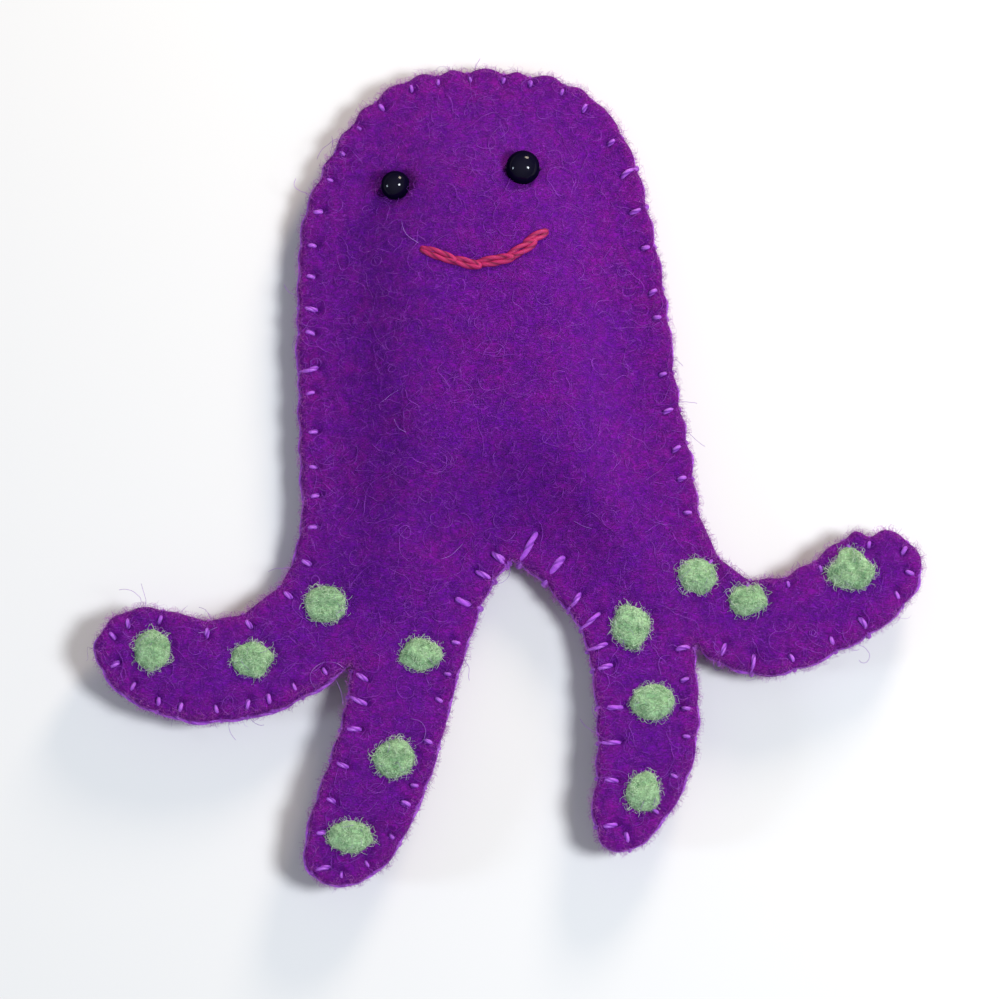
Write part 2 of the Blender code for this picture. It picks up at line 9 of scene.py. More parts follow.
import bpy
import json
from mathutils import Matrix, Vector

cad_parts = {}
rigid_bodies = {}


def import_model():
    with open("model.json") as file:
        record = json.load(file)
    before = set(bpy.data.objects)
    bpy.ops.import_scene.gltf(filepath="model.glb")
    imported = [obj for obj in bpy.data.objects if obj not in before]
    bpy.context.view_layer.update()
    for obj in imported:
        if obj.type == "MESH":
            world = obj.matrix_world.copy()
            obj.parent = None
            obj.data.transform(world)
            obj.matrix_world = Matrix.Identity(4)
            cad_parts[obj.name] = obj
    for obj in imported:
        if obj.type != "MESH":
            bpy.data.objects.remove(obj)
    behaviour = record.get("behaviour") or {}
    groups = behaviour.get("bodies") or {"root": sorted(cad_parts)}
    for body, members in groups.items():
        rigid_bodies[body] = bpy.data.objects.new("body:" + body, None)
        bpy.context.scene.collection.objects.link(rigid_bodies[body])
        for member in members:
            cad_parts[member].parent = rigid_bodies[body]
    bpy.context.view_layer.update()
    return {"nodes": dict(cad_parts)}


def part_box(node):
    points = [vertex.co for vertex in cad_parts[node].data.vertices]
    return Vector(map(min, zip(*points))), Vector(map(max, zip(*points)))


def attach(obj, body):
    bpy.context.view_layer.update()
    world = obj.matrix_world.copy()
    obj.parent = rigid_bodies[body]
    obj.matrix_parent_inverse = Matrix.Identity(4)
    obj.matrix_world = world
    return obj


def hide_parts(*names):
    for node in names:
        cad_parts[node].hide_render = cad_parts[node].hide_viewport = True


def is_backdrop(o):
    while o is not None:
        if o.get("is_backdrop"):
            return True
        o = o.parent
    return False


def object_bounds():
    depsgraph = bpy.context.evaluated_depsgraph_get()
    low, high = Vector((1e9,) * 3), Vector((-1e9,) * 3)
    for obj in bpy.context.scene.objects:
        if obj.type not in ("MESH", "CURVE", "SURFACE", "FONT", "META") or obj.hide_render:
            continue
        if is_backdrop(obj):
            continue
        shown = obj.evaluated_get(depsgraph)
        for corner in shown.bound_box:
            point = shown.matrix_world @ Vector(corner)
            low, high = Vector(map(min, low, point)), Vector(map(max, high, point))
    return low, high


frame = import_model()

# %% [markdown]
# ## Units and small helpers
#
# All sizes below are in millimetres, because a puppet is small enough to think of that way. They
# become metres at the moment a mesh is made, so a finished object needs no scale and sits at the
# origin.

# %% Bring in Blender's modules
import json
import math

import bmesh
import bpy
import numpy as np
from mathutils import Vector, noise
from mathutils.bvhtree import BVHTree
from mathutils.geometry import delaunay_2d_cdt

MM = 0.001
TURN = 2 * math.pi


def linear(red, green, blue):
    """A colour given as 0 to 255, as the linear values that a shader takes."""
    curve = []
    for channel in (red, green, blue):
        share = channel / 255
        curve.append(share / 12.92 if share <= 0.04045 else ((share + 0.055) / 1.055) ** 2.4)
    return (*curve, 1.0)


def new_object(name, data):
    """An object at the origin that holds this mesh, curve, lamp or camera."""
    made = bpy.data.objects.new(name, data)
    bpy.context.scene.collection.objects.link(made)
    return made


def new_piece(name, places, faces, material):
    """A smooth mesh object from places in millimetres."""
    mesh = bpy.data.meshes.new(name)
    mesh.from_pydata((np.asarray(places, float) * MM).tolist(), [], faces)
    mesh.materials.append(material)
    mesh.shade_smooth()
    return new_object(name, mesh)


def count_triangles(piece):
    """How many triangles a mesh object has."""
    return sum(len(face.vertices) - 2 for face in piece.data.polygons)


def bell(distance, width):
    """1 at no distance, fading smoothly to 0 over a few widths."""
    return np.exp(-((distance / width) ** 2))


def ease(share):
    """A smooth step from 0 to 1 as share goes from 0 to 1."""
    share = np.clip(share, 0.0, 1.0)
    return share * share * (3.0 - 2.0 * share)


def drift(points, size, seed):
    """A smooth random number at each point in the plane, with waves of about the given size."""
    return np.array([noise.noise((x / size, y / size, seed)) for x, y in points])


print("one unit is", MM, "m")

# %% [markdown]
# ## Camera
#
# The photograph looks down on the puppet, tipped about eight degrees towards the feet. A narrow
# view from far away keeps the puppet's proportions, as the photograph does.

# %% Place the camera
CAMERA_AIM = Vector((-1.0, -2.5, 2.0))
CAMERA_DISTANCE = 608.0
CAMERA_TILT = math.radians(8.0)
CAMERA_VIEW = math.radians(9.52)

camera = new_object("camera", bpy.data.cameras.new("camera"))
camera_side = Vector((0.0, -math.sin(CAMERA_TILT), math.cos(CAMERA_TILT)))
camera.location = (CAMERA_AIM + camera_side * CAMERA_DISTANCE) * MM
camera.rotation_euler = camera_side.to_track_quat("Z", "Y").to_euler()
camera.data.angle = CAMERA_VIEW
camera.data.clip_start = 0.01
bpy.context.scene.camera = camera
print("camera", [round(value, 4) for value in camera.location])

# %% [markdown]
# ## Light
#
# Daylight comes from the right, so soft shadows fall to the left, and three small bright shapes
# show in each bead. Three area lamps stand where those bright shapes need them, and a pale world
# fills the shadows.

# %% Light it
# Each lamp: the direction it comes from, its distance, width and power, and its colour
LAMPS = {
    "window_right": ((0.56, -0.10, 0.82), 520.0, 150.0, 2.45, (240, 246, 255)),
    "lamp_top": ((0.38, 0.84, 0.40), 280.0, 84.0, 0.55, (255, 236, 214)),
    "window_left": ((-0.92, -0.16, 0.36), 520.0, 96.0, 0.75, (222, 236, 255)),
}
WORLD_COLOUR = linear(236, 240, 246)
WORLD_STRENGTH = 0.31

for name, (direction, distance, width, power, colour) in LAMPS.items():
    lamp = new_object(name, bpy.data.lights.new(name, "AREA"))
    towards = Vector(direction).normalized()
    lamp.location = towards * distance * MM
    lamp.rotation_euler = towards.to_track_quat("Z", "Y").to_euler()
    lamp.data.shape = "DISK"
    lamp.data.size = width * MM
    lamp.data.energy = power
    lamp.data.color = linear(*colour)[:3]

scene = bpy.context.scene
scene.view_settings.view_transform = "Standard"
scene.world = bpy.data.worlds.new("pale_room")
scene.world.use_nodes = True
room = scene.world.node_tree.nodes["Background"]
room.inputs["Color"].default_value = WORLD_COLOUR
room.inputs["Strength"].default_value = WORLD_STRENGTH
print(len(LAMPS), "lamps")

# %% [markdown]
# ## Building node trees
#
# Shader trees and geometry trees are made the same way here: `put` adds one node and fills its
# inputs, each with a plain value or with another node's output. `maths`, `spread` and
# `blend_colours` are the steps used most.


# %% Helpers for node trees
def feed(tree, node, inputs):
    """Gives each of a node's inputs a plain value, or links it to another node's output."""
    for key, value in dict(inputs).items():
        if isinstance(value, bpy.types.NodeSocket):
            tree.links.new(value, node.inputs[key])
        else:
            node.inputs[key].default_value = value
    return node


def put(tree, kind, inputs=(), **settings):
    """Adds a node to a tree, with its settings and its inputs."""
    made = tree.nodes.new(kind)
    for name, value in settings.items():
        setattr(made, name, value)
    return feed(tree, made, inputs)


def out_of(tree, kind, inputs=(), **settings):
    """Adds a node and gives its first output."""
    return put(tree, kind, inputs, **settings).outputs[0]


def maths(tree, operation, first, *others, clamp=False):
    """A sum on one number, or on several in turn, as a socket."""
    for other in others or (0.0,):
        inputs = {0: first, 1: other}
        first = out_of(tree, "ShaderNodeMath", inputs, operation=operation, use_clamp=clamp)
    return first


def blend_colours(tree, share, first, second, way="MIX"):
    """Two colours mixed, as a socket."""
    inputs = {0: share, 6: first, 7: second}
    return put(tree, "ShaderNodeMix", inputs, data_type="RGBA", blend_type=way).outputs[2]


def spread(tree, value, low, high, to_low=0.0, to_high=1.0):
    """A number stretched from one range to another and kept within it, as a socket."""
    inputs = {0: value, 1: low, 2: high, 3: to_low, 4: to_high}
    return out_of(tree, "ShaderNodeMapRange", inputs)


def scaled(tree, vector, size):
    """A vector made longer or shorter, as a socket."""
    inputs = {0: vector, "Scale": size}
    return out_of(tree, "ShaderNodeVectorMath", inputs, operation="SCALE")


def new_tree(name, kind, inputs, outputs):
    """A node group with its named sockets: each a name, a type and perhaps a first value."""
    tree = bpy.data.node_groups.new(name, kind)
    for way, sockets in (("INPUT", inputs), ("OUTPUT", outputs)):
        for label, sort, *value in sockets:
            socket = tree.interface.new_socket(label, in_out=way, socket_type="NodeSocket" + sort)
            if value:
                socket.default_value = value[0]
    return tree, tree.nodes.new("NodeGroupInput").outputs, tree.nodes.new("NodeGroupOutput")


print("helpers for node trees are ready")


# %% Helpers for materials
def new_material(name):
    """A material, its tree and its shader."""
    material = bpy.data.materials.new(name)
    material.use_nodes = True
    return material, material.node_tree, material.node_tree.nodes["Principled BSDF"]


def object_place(tree):
    """Object coordinates in millimetres, as a socket."""
    return scaled(tree, put(tree, "ShaderNodeTexCoord").outputs["Object"], 1 / MM)


def noise_at(tree, place, waves, detail, roughness=0.5):
    """Smooth noise from 0 to 1, with so many waves to the millimetre, as a socket."""
    inputs = {"Vector": place, "Scale": waves, "Detail": detail, "Roughness": roughness}
    return out_of(tree, "ShaderNodeTexNoise", inputs)


def toned(tree, colour, shade):
    """A colour made lighter or darker by a number, as a socket."""
    grey = out_of(tree, "ShaderNodeCombineColor", {0: shade, 1: shade, 2: shade})
    return blend_colours(tree, 1.0, colour, grey, "MULTIPLY")


def bumped(tree, height, depth):
    """A normal that follows a height, with bumps of a depth in millimetres, as a socket."""
    return out_of(tree, "ShaderNodeBump", {"Height": height, "Distance": depth * MM})


print("helpers for materials are ready")

# %% [markdown]
# ## Wool, as a shader
#
# Felt is wool fibre matted into a sheet. Seen close, its colour drifts between patches, small pits
# are painted darker as shade, and thin curling fibres catch the light. One node group makes all of
# that from the object's coordinates. The thin lines are the places where a smooth noise passes
# through its middle value, which gives curls that look like fibres. Three sets of them, turned
# different ways, are laid over each other.

# %% The wool group
# Noise in the wool: its waves to the millimetre, its detail and, for the clumps, its roughness
PATCHES, TUFTS, CLUMPS, GRAIN = (0.16, 3.0), (0.55, 4.0), (1.1, 4.0, 0.65), (7.0, 3.0)
# The most that patches and tufts add to the warm tone
PATCH_SHARE, TUFT_SHARE = 0.38, 0.4
# Each set of fibres: how it is turned, its waves to the millimetre, and how it is stretched
FIBRE_SETS = (
    (0.3, 1.1, (0.55, 1.5, 1.0)),
    (1.5, 1.5, (0.6, 1.4, 1.0)),
    (-0.7, 2.1, (0.7, 1.3, 1.0)),
)
FIBRE_WIDTH = 0.03
FIBRE_DETAIL, FIBRE_ROUGHNESS = 2.0, 0.6
# How much the clumps, the fibres and the grain raise the surface
RELIEF = (1.2, 0.45, 0.35)


def wool_fibres(tree, place):
    """Thin curling lines, 1 on a fibre and 0 between, as a socket."""
    fibres = 0.0
    for turn, waves, stretch in FIBRE_SETS:
        inputs = {"Vector": place, "Rotation": (0.4, 0.2, turn), "Scale": stretch}
        turned = out_of(tree, "ShaderNodeMapping", inputs)
        curls = noise_at(tree, turned, waves, FIBRE_DETAIL, FIBRE_ROUGHNESS)
        off_middle = maths(tree, "ABSOLUTE", maths(tree, "SUBTRACT", curls, 0.5))
        fibres = maths(tree, "MAXIMUM", spread(tree, off_middle, FIBRE_WIDTH, 0.0), fibres)
    return fibres


def make_wool_group():
    """Matted wool: its colour, its roughness and the height of its surface."""
    colours = [(label, "Color") for label in ("Main", "Warm", "Deep", "Pale")]
    tree, given, result = new_tree(
        "matted_wool",
        "ShaderNodeTree",
        (*colours, ("Edge", "Float", 0.0), ("Pits", "Float", 0.5), ("Fibres", "Float", 0.3)),
        (("Color", "Color"), ("Roughness", "Float"), ("Height", "Float")),
    )
    place = object_place(tree)
    patches = spread(tree, noise_at(tree, place, *PATCHES), 0.42, 0.64, 0.0, PATCH_SHARE)
    tufts = spread(tree, noise_at(tree, place, *TUFTS), 0.42, 0.62, 0.0, TUFT_SHARE)
    warm = maths(tree, "ADD", maths(tree, "ADD", patches, tufts), given["Edge"], clamp=True)
    colour = blend_colours(tree, warm, given["Main"], given["Warm"])
    clumps = noise_at(tree, place, *CLUMPS)
    # Painted shade: where the clumps dip, and the bump sinks them, the wool is darkened to the shade
    # tone.
    pit_shade = maths(tree, "MULTIPLY", spread(tree, clumps, 0.56, 0.36), given["Pits"])
    colour = blend_colours(tree, pit_shade, colour, given["Deep"])
    fibres, grain = wool_fibres(tree, place), noise_at(tree, place, *GRAIN)
    thinned = spread(tree, grain, 0.35, 0.65, 0.4, 1.0)
    lit = maths(tree, "MULTIPLY", fibres, given["Fibres"], thinned)
    colour = blend_colours(tree, lit, colour, given["Pale"])
    raised = zip((clumps, fibres, grain), RELIEF)
    made = {
        "Color": toned(tree, colour, spread(tree, grain, 0.3, 0.7, 0.86, 1.12)),
        "Roughness": spread(tree, grain, 0.3, 0.7, 0.82, 1.0),
        "Height": maths(tree, "ADD", *[maths(tree, "MULTIPLY", *pair) for pair in raised]),
    }
    feed(tree, result, made)
    return tree


WOOL_GROUP = make_wool_group()
print("wool group of", len(WOOL_GROUP.nodes), "nodes")


# %% The two wools
def wool_material(name, tones, bump, pit_shade, fibres, sheen):
    """Wool in four tones. Warmth follows the mesh's own edge attribute, so that rims can differ."""
    material, tree, shader = new_material(name)
    # The third tone is a painted shade, which the wool group lays in the pits.
    inputs = {label: linear(*tone) for label, tone in zip(("Main", "Warm", "Deep", "Pale"), tones)}
    inputs["Edge"] = put(tree, "ShaderNodeAttribute", attribute_name="edge").outputs["Fac"]
    inputs.update(Pits=pit_shade, Fibres=fibres)
    wool = put(tree, "ShaderNodeGroup", inputs, node_tree=WOOL_GROUP).outputs
    look = {
        "Base Color": wool["Color"],
        "Roughness": wool["Roughness"],
        "Normal": bumped(tree, wool["Height"], bump),
        "Specular IOR Level": 0.06,
        "Sheen Weight": sheen,
        "Sheen Roughness": 0.45,
        "Sheen Tint": inputs["Pale"],
    }
    feed(tree, shader, look)
    return material


# Tones of each wool: main, warm, a painted shade for the pits, and pale
PURPLES = ((101, 18, 149), (124, 20, 141), (76, 10, 118), (158, 66, 204))
GREENS = ((150, 194, 142), (166, 206, 154), (84, 126, 86), (204, 230, 190))

FELT = wool_material("purple_felt", PURPLES, bump=0.26, pit_shade=0.6, fibres=0.4, sheen=0.14)
SPOT_WOOL = wool_material("green_wool", GREENS, bump=0.16, pit_shade=0.8, fibres=0.5, sheen=0.15)
print("materials", FELT.name, "and", SPOT_WOOL.name)

# %% [markdown]
# ## Reading the frame
#
# The solid model's felt layers have the right outline and the right dome, but their faces are a few
# millimetres wide. So the outline is read from the edge between the top and the side wall of each
# layer, and a smooth line is drawn through it. Heights are read by dropping a ray on to the solid,
# and are smoothed later.

# %% Measures of a closed loop
def signed_area(loop):
    """A closed loop's area, positive if it runs anticlockwise."""
    onward = np.roll(loop, -1, axis=0)
    return (loop[:, 0] * onward[:, 1] - loop[:, 1] * onward[:, 0]).sum() / 2


def length_of(loop):
    """The length round a closed loop."""
    return np.hypot(*(np.roll(loop, -1, axis=0) - loop).T).sum()


def stations(loop, travel):
    """Points and inward directions at the given distances round an anticlockwise loop."""
    closed = np.vstack([loop, loop[:1]])
    travelled = np.concatenate([[0.0], np.cumsum(np.hypot(*np.diff(closed, axis=0).T))])
    heading = np.roll(loop, -1, axis=0) - np.roll(loop, 1, axis=0)
    inward = np.stack([-heading[:, 1], heading[:, 0]], axis=1)
    inward = np.vstack([inward, inward[:1]])
    travel = np.mod(travel, travelled[-1])
    points = np.stack([np.interp(travel, travelled, closed[:, axis]) for axis in (0, 1)], axis=1)
    facing = np.stack([np.interp(travel, travelled, inward[:, axis]) for axis in (0, 1)], axis=1)
    return points, facing / np.hypot(*facing.T)[:, None]


# %% Outlines and heights from the solid model
WALL_TILT = 0.3
MERGE = 1e-6
OUTLINE_STEP = 0.3
SMOOTH_STEPS = 12
RAY_HEIGHT = 50.0


def smooth_loop(points, step):
    """Points a step apart on a smooth closed curve through the given ones."""
    arriving = points - np.roll(points, 1, axis=0)
    leaving = np.roll(points, -1, axis=0) - points
    aims = arriving / (arriving**2).sum(1)[:, None] + leaving / (leaving**2).sum(1)[:, None]
    aims /= np.hypot(*aims.T)[:, None]
    reach = np.hypot(*leaving.T)[:, None]
    rows = []
    for share in np.arange(SMOOTH_STEPS) / SMOOTH_STEPS:
        rows.append(
            (2 * share**3 - 3 * share**2 + 1) * points
            + (3 * share**2 - 2 * share**3) * np.roll(points, -1, axis=0)
            + (share**3 - 2 * share**2 + share) * reach * aims
            + (share**3 - share**2) * reach * np.roll(aims, -1, axis=0)
        )
    fine = np.stack(rows, axis=1).reshape(-1, 2)
    count = round(length_of(fine) / step)
    return stations(fine, np.arange(count) * length_of(fine) / count)[0]


def rim_loops(node):
    """The rims of a solid layer seen from above, anticlockwise, the longest first."""
    shape = bmesh.new()
    shape.from_mesh(frame["nodes"][node].data)
    bmesh.ops.remove_doubles(shape, verts=shape.verts, dist=MERGE)
    shape.normal_update()
    beside = {}
    for edge in shape.edges:
        tilts = sorted(face.normal.z for face in edge.link_faces)
        if abs(tilts[0]) < WALL_TILT < tilts[1]:
            first, second = edge.verts
            beside.setdefault(first, []).append(second)
            beside.setdefault(second, []).append(first)
    loops = []
    while beside:
        chain = [next(iter(beside))]
        while onward := [vert for vert in beside.pop(chain[-1]) if vert in beside]:
            chain.append(onward[0])
        loop = np.array([vert.co.xy for vert in chain]) / MM
        loops.append(loop if signed_area(loop) > 0 else loop[::-1])
    shape.free()
    return sorted(loops, key=length_of, reverse=True)


def ray_tree(mesh):
    """A mesh's faces, in millimetres, ready for rays."""
    faces = [tuple(face.vertices) for face in mesh.polygons]
    return BVHTree.FromPolygons([vert.co / MM for vert in mesh.vertices], faces)


def heights(tree, points, from_above):
    """The height of a surface at each point, or past its edge that of its nearest place."""
    side = 1.0 if from_above else -1.0
    found = []
    for x, y in points:
        hit = tree.ray_cast(Vector((x, y, side * RAY_HEIGHT)), Vector((0.0, 0.0, -side)))[0]
        if hit is None:
            level = found[-1] if found else 0.0
            hit = tree.find_nearest(Vector((x, y, level)))[0]
            hit = tree.find_nearest(Vector((x, y, hit.z + side)))[0]
        found.append(hit.z)
    return np.array(found)


CAD_OUTLINE = rim_loops("front_panel")[0]
OPENING = smooth_loop(rim_loops("back_panel")[1], OUTLINE_STEP)
print("outline", round(length_of(CAD_OUTLINE)), "mm; opening", round(length_of(OPENING)), "mm")

# %% [markdown]
# ## Where the stitches are
#
# Each blanket stitch pulls the felt in a little, so the stitches come before the felt. The
# photograph shows most of them, and they aren't evenly spaced: the sewer went round the head in
# even steps, crowded the notch between the legs and worked longer stitches down the legs. Each row
# below is a place on the edge, how many even steps there are to the next row's place, how far in
# the needle went, and how hard the thread pulls the edge in.

# %% Stitch places
FELT_GROWS = 0.45
STITCH_ROWS = (
    (6.1, 40.6, 5, 1.0, 0.5),
    (-10.7, 40.6, 5, 1.0, 0.38),
    (-20.5, 27.0, 12, 1.6, 0.22),
    (-22.2, -12.5, 6, 1.6, 0.25),
    (-41.1, -20.4, 9, 1.5, 0.20),
    (-15.4, -20.2, 1, 2.0, 0.1),
    (-15.2, -23.1, 1, 2.1, 0.22),
    (-16.2, -26.2, 1, 2.0, 0.22),
    (-17.5, -29.4, 1, 1.6, 0.22),
    (-18.7, -33.1, 1, 1.9, 0.22),
    (-20.2, -36.8, 1, 1.9, 0.22),
    (-19.3, -40.2, 1, 2.0, 0.22),
    (-16.7, -42.0, 9, 1.4, 0.22),
    (-3.3, -13.7, 1, 2.7, 0.25),
    (-1.6, -10.8, 1, 2.2, 0.15),
    (-0.4, -9.4, 1, 2.0, 0.0),
    (0.1, -9.2, 1, 1.9, 0.0),
    (1.1, -9.2, 1, 3.5, 0.0),
    (3.6, -11.3, 1, 2.9, 0.25),
    (6.5, -13.6, 1, 1.8, 0.25),
    (7.7, -15.6, 1, 2.2, 0.20),
    (8.2, -18.1, 1, 1.9, 0.10),
    (8.5, -20.1, 1, 1.9, 0.20),
    (9.1, -24.0, 1, 2.1, 0.25),
    (9.3, -27.4, 1, 2.1, 0.25),
    (9.1, -31.1, 1, 2.2, 0.30),
    (9.4, -35.8, 1, 1.8, 0.25),
    (12.1, -38.3, 2, 1.5, 0.25),
    (17.6, -31.1, 1, 1.5, 0.25),
    (18.9, -26.9, 1, 1.4, 0.25),
    (18.7, -23.9, 1, 1.5, 0.20),
    (18.2, -20.5, 1, 1.6, 0.20),
    (18.7, -17.8, 2, 1.9, 0.10),
    (24.3, -20.6, 1, 1.7, 0.15),
    (29.0, -20.5, 1, 1.5, 0.25),
    (33.0, -18.7, 1, 1.6, 0.25),
    (36.5, -16.9, 1, 1.9, 0.25),
    (39.9, -13.9, 1, 1.5, 0.25),
    (41.8, -10.6, 1, 1.4, 0.25),
    (40.5, -6.6, 1, 1.5, 0.25),
    (36.4, -5.6, 1, 1.0, 0.95),
    (33.4, -6.3, 4, 1.1, 0.35),
    (21.6, -8.1, 13, 1.6, 0.24),
)
# How far these rows' stitches lean along the edge, as a share of their depth
STITCH_LEANS = {
    (-15.4, -20.2): 0.5,
    (-0.4, -9.4): 0.1,
    (0.1, -9.2): -0.25,
    (1.1, -9.2): -0.2,
    (3.6, -11.3): -0.2,
    (6.5, -13.6): -0.35,
    (7.7, -15.6): -0.3,
    (8.2, -18.1): -0.15,
    (8.5, -20.1): -0.1,
}
SEED = 11
# Where two limbs meet: the corner, the way its gap opens, how hard its sides draw together, how far
# the corner fills up, and how far out all this reaches
NOTCHES = (
    ((0.2, -9.2), (0.0, -1.0), 0.55, 0.0, 2.2),
    ((-15.6, -19.3), (-0.45, -0.9), 0.62, 0.9, 3.2),
    ((18.9, -17.9), (0.3, -0.95), 0.7, 0.2, 3.0),
)

# How much chance there is in a stitch's place, its lean and its depth
PLACE_CHANCE, LEAN_CHANCE, DEPTH_CHANCE = 0.12, 0.2, 0.15

rough_outline = smooth_loop(CAD_OUTLINE, OUTLINE_STEP)
rough_travel = np.arange(0, length_of(rough_outline), OUTLINE_STEP)
grown_points, grown_inward = stations(rough_outline, rough_travel)
PLAIN_OUTLINE = grown_points - grown_inward * FELT_GROWS
for tip, way, pinch, filled, reach in NOTCHES:
    offset, across = PLAIN_OUTLINE - tip, np.array((-way[1], way[0]))
    near = bell(np.hypot(*offset.T), reach)[:, None]
    pinched = across * (offset @ across)[:, None] * pinch
    PLAIN_OUTLINE = PLAIN_OUTLINE - pinched * near + np.array(way) * filled * near


def travel_at(loop, place):
    """How far round a loop the nearest point to a place is."""
    nearest = int(np.argmin(np.hypot(*(loop - place).T)))
    return np.hypot(*np.diff(loop[: nearest + 1], axis=0).T).sum()


def place_stitches(loop):
    """Every stitch as its distance round the loop, its depth, its pull and its lean."""
    chance = np.random.default_rng(SEED)
    whole = length_of(loop)
    starts = [travel_at(loop, np.array(row[:2])) for row in STITCH_ROWS]
    found = []
    for index, (x, y, count, depth, pull) in enumerate(STITCH_ROWS):
        gap = (starts[(index + 1) % len(starts)] - starts[index]) % whole
        for step in range(count):
            loose = chance.normal(0, PLACE_CHANCE) * gap / count if step else 0.0
            travel = (starts[index] + gap * step / count + loose) % whole
            lean = STITCH_LEANS.get((x, y), chance.normal(0, LEAN_CHANCE))
            depth_share = chance.uniform(1.0 - DEPTH_CHANCE, 1.0 + DEPTH_CHANCE)
            found.append((travel, depth * depth_share, pull, lean))
    return np.array(sorted(found))


stitch_travel, stitch_depth, stitch_pull, stitch_lean = place_stitches(PLAIN_OUTLINE).T
print(len(stitch_travel), "blanket stitches round", round(length_of(PLAIN_OUTLINE)), "mm")

# %% [markdown]
# ## The outline of the felt
#
# The thread draws the edge in at each stitch, and the felt bulges between, so the edge is
# scalloped. Each point of the outline moves inwards by an amount that fades with its distance from
# the nearest stitches. The line that each stitch takes over the felt starts on the outline drawn in
# like this.

# %% Pull the outline in at the stitches
PULL_WIDTH = 1.0


def pulled(loop):
    """The outline with its edge drawn in at each stitch."""
    whole = length_of(loop)
    travel = np.concatenate([[0.0], np.cumsum(np.hypot(*np.diff(loop, axis=0).T))])
    apart = np.abs(travel[:, None] - stitch_travel)
    apart = np.minimum(apart, whole - apart)
    amount = (bell(apart, PULL_WIDTH) * stitch_pull).max(axis=1)
    points, inward = stations(loop, travel)
    return points + inward * amount[:, None]


OUTLINE = pulled(PLAIN_OUTLINE)
stitch_rims, stitch_inward = stations(PLAIN_OUTLINE, stitch_travel)
stitch_rims = stitch_rims + stitch_inward * stitch_pull[:, None]
stitch_along = np.stack([stitch_inward[:, 1], -stitch_inward[:, 0]], axis=1)
stitch_ways = stitch_inward + stitch_along * stitch_lean[:, None]
stitch_ways /= np.hypot(*stitch_ways.T)[:, None]
stitch_ends = stitch_rims + stitch_ways * stitch_depth[:, None]
print("area inside the outline", round(signed_area(OUTLINE)), "square mm")

# %% [markdown]
# ## Filling a sheet
#
# A sheet of felt is an outline filled with points, joined by a Delaunay triangulation. Close rows
# of points follow the rim, so that it can be rounded well, and an even grid fills the rest. How far
# each point is from the rim decides both where the points go and how thick the felt is there.


# %% Distances in the plane
CHUNK = 4000


def wall_tree(loop):
    """A closed loop as a low upright wall, so that the nearest place on it is found fast."""
    count = len(loop)
    places = [(x, y, level) for level in (-1.0, 1.0) for x, y in loop]
    around = [(n + 1) % count for n in range(count)]
    walls = [(n, around[n], around[n] + count, n + count) for n in range(count)]
    return BVHTree.FromPolygons(places, walls)


def distance_to_loops(points, loops):
    """How far each point is from the nearest of some closed loops."""
    trees = [wall_tree(loop) for loop in loops]
    return np.array([min(tree.find_nearest((x, y, 0.0))[3] for tree in trees) for x, y in points])


def distance_to_sides(points, starts, ends):
    """How far each point is from each of a few straight sides, as a table."""
    table = np.empty((len(points), len(starts)))
    along = ends - starts
    squared = np.maximum((along**2).sum(1), 1e-12)
    for first in range(0, len(points), CHUNK):
        offset = points[first : first + CHUNK, None] - starts
        share = np.clip((offset * along).sum(-1) / squared, 0.0, 1.0)
        offset = offset - share[..., None] * along
        table[first : first + CHUNK] = np.sqrt((offset**2).sum(-1))
    return table


def is_inside(points, loop):
    """Whether each point lies inside a closed loop, by counting the sides to its right."""
    ends = np.roll(loop, -1, axis=0)
    crossings = np.zeros(len(points), int)
    for (x0, y0), (x1, y1) in zip(loop, ends):
        if y0 != y1:
            spans = (y0 > points[:, 1]) != (y1 > points[:, 1])
            crossings += spans & (x0 + (points[:, 1] - y0) / (y1 - y0) * (x1 - x0) > points[:, 0])
    return crossings % 2 == 1


# %% Fill an outline with points and triangles
RIM_ROWS = (0.07, 0.18, 0.34, 0.56, 0.84)
GRID_STARTS = 0.62
GRID_CHANCE = 0.12
ROW_SHARE = 0.93
JOIN_WITHIN = 1e-7


def is_in_sheet(points, outline, holes):
    """Whether each point lies inside an outline and outside its holes."""
    inside = is_inside(points, outline)
    for hole in holes:
        inside &= ~is_inside(points, hole)
    return inside


def fill(outline, holes, spacing):
    """Points and triangles that fill an outline round its holes, and the count of rim points."""
    rims = [outline, *[hole[::-1] for hole in holes]]
    low, high = outline.min(axis=0), outline.max(axis=0)
    chance = np.random.default_rng(SEED)
    rows = np.arange(low[1], high[1], spacing * math.sqrt(3) / 2)
    columns = np.arange(low[0], high[0], spacing)
    grid = np.array([(x + (n % 2) * spacing / 2, y) for n, y in enumerate(rows) for x in columns])
    grid += chance.uniform(-GRID_CHANCE, GRID_CHANCE, grid.shape) * spacing
    grid = grid[is_in_sheet(grid, outline, holes)]
    clear = distance_to_loops(grid, rims) > RIM_ROWS[-1] + GRID_STARTS * spacing
    points = [*rims, grid[clear]]
    for inset in RIM_ROWS:
        for rim in rims:
            count = round(length_of(rim) / spacing)
            row, inward = stations(rim, (np.arange(count) + 0.5) * length_of(rim) / count)
            row = row + inward * inset
            points.append(row[distance_to_loops(row, rims) > inset * ROW_SHARE])
    sides = []
    first = 0
    for rim in rims:
        sides += [(first + n, first + (n + 1) % len(rim)) for n in range(len(rim))]
        first += len(rim)
    points = [Vector(point) for point in np.vstack(points)]
    flat, _, faces, *_ = delaunay_2d_cdt(points, sides, [], 0, JOIN_WITHIN, False)
    flat, faces = np.array([tuple(point) for point in flat]), np.array(faces)
    return flat, faces[is_in_sheet(flat[faces].mean(axis=1), outline, holes)], first


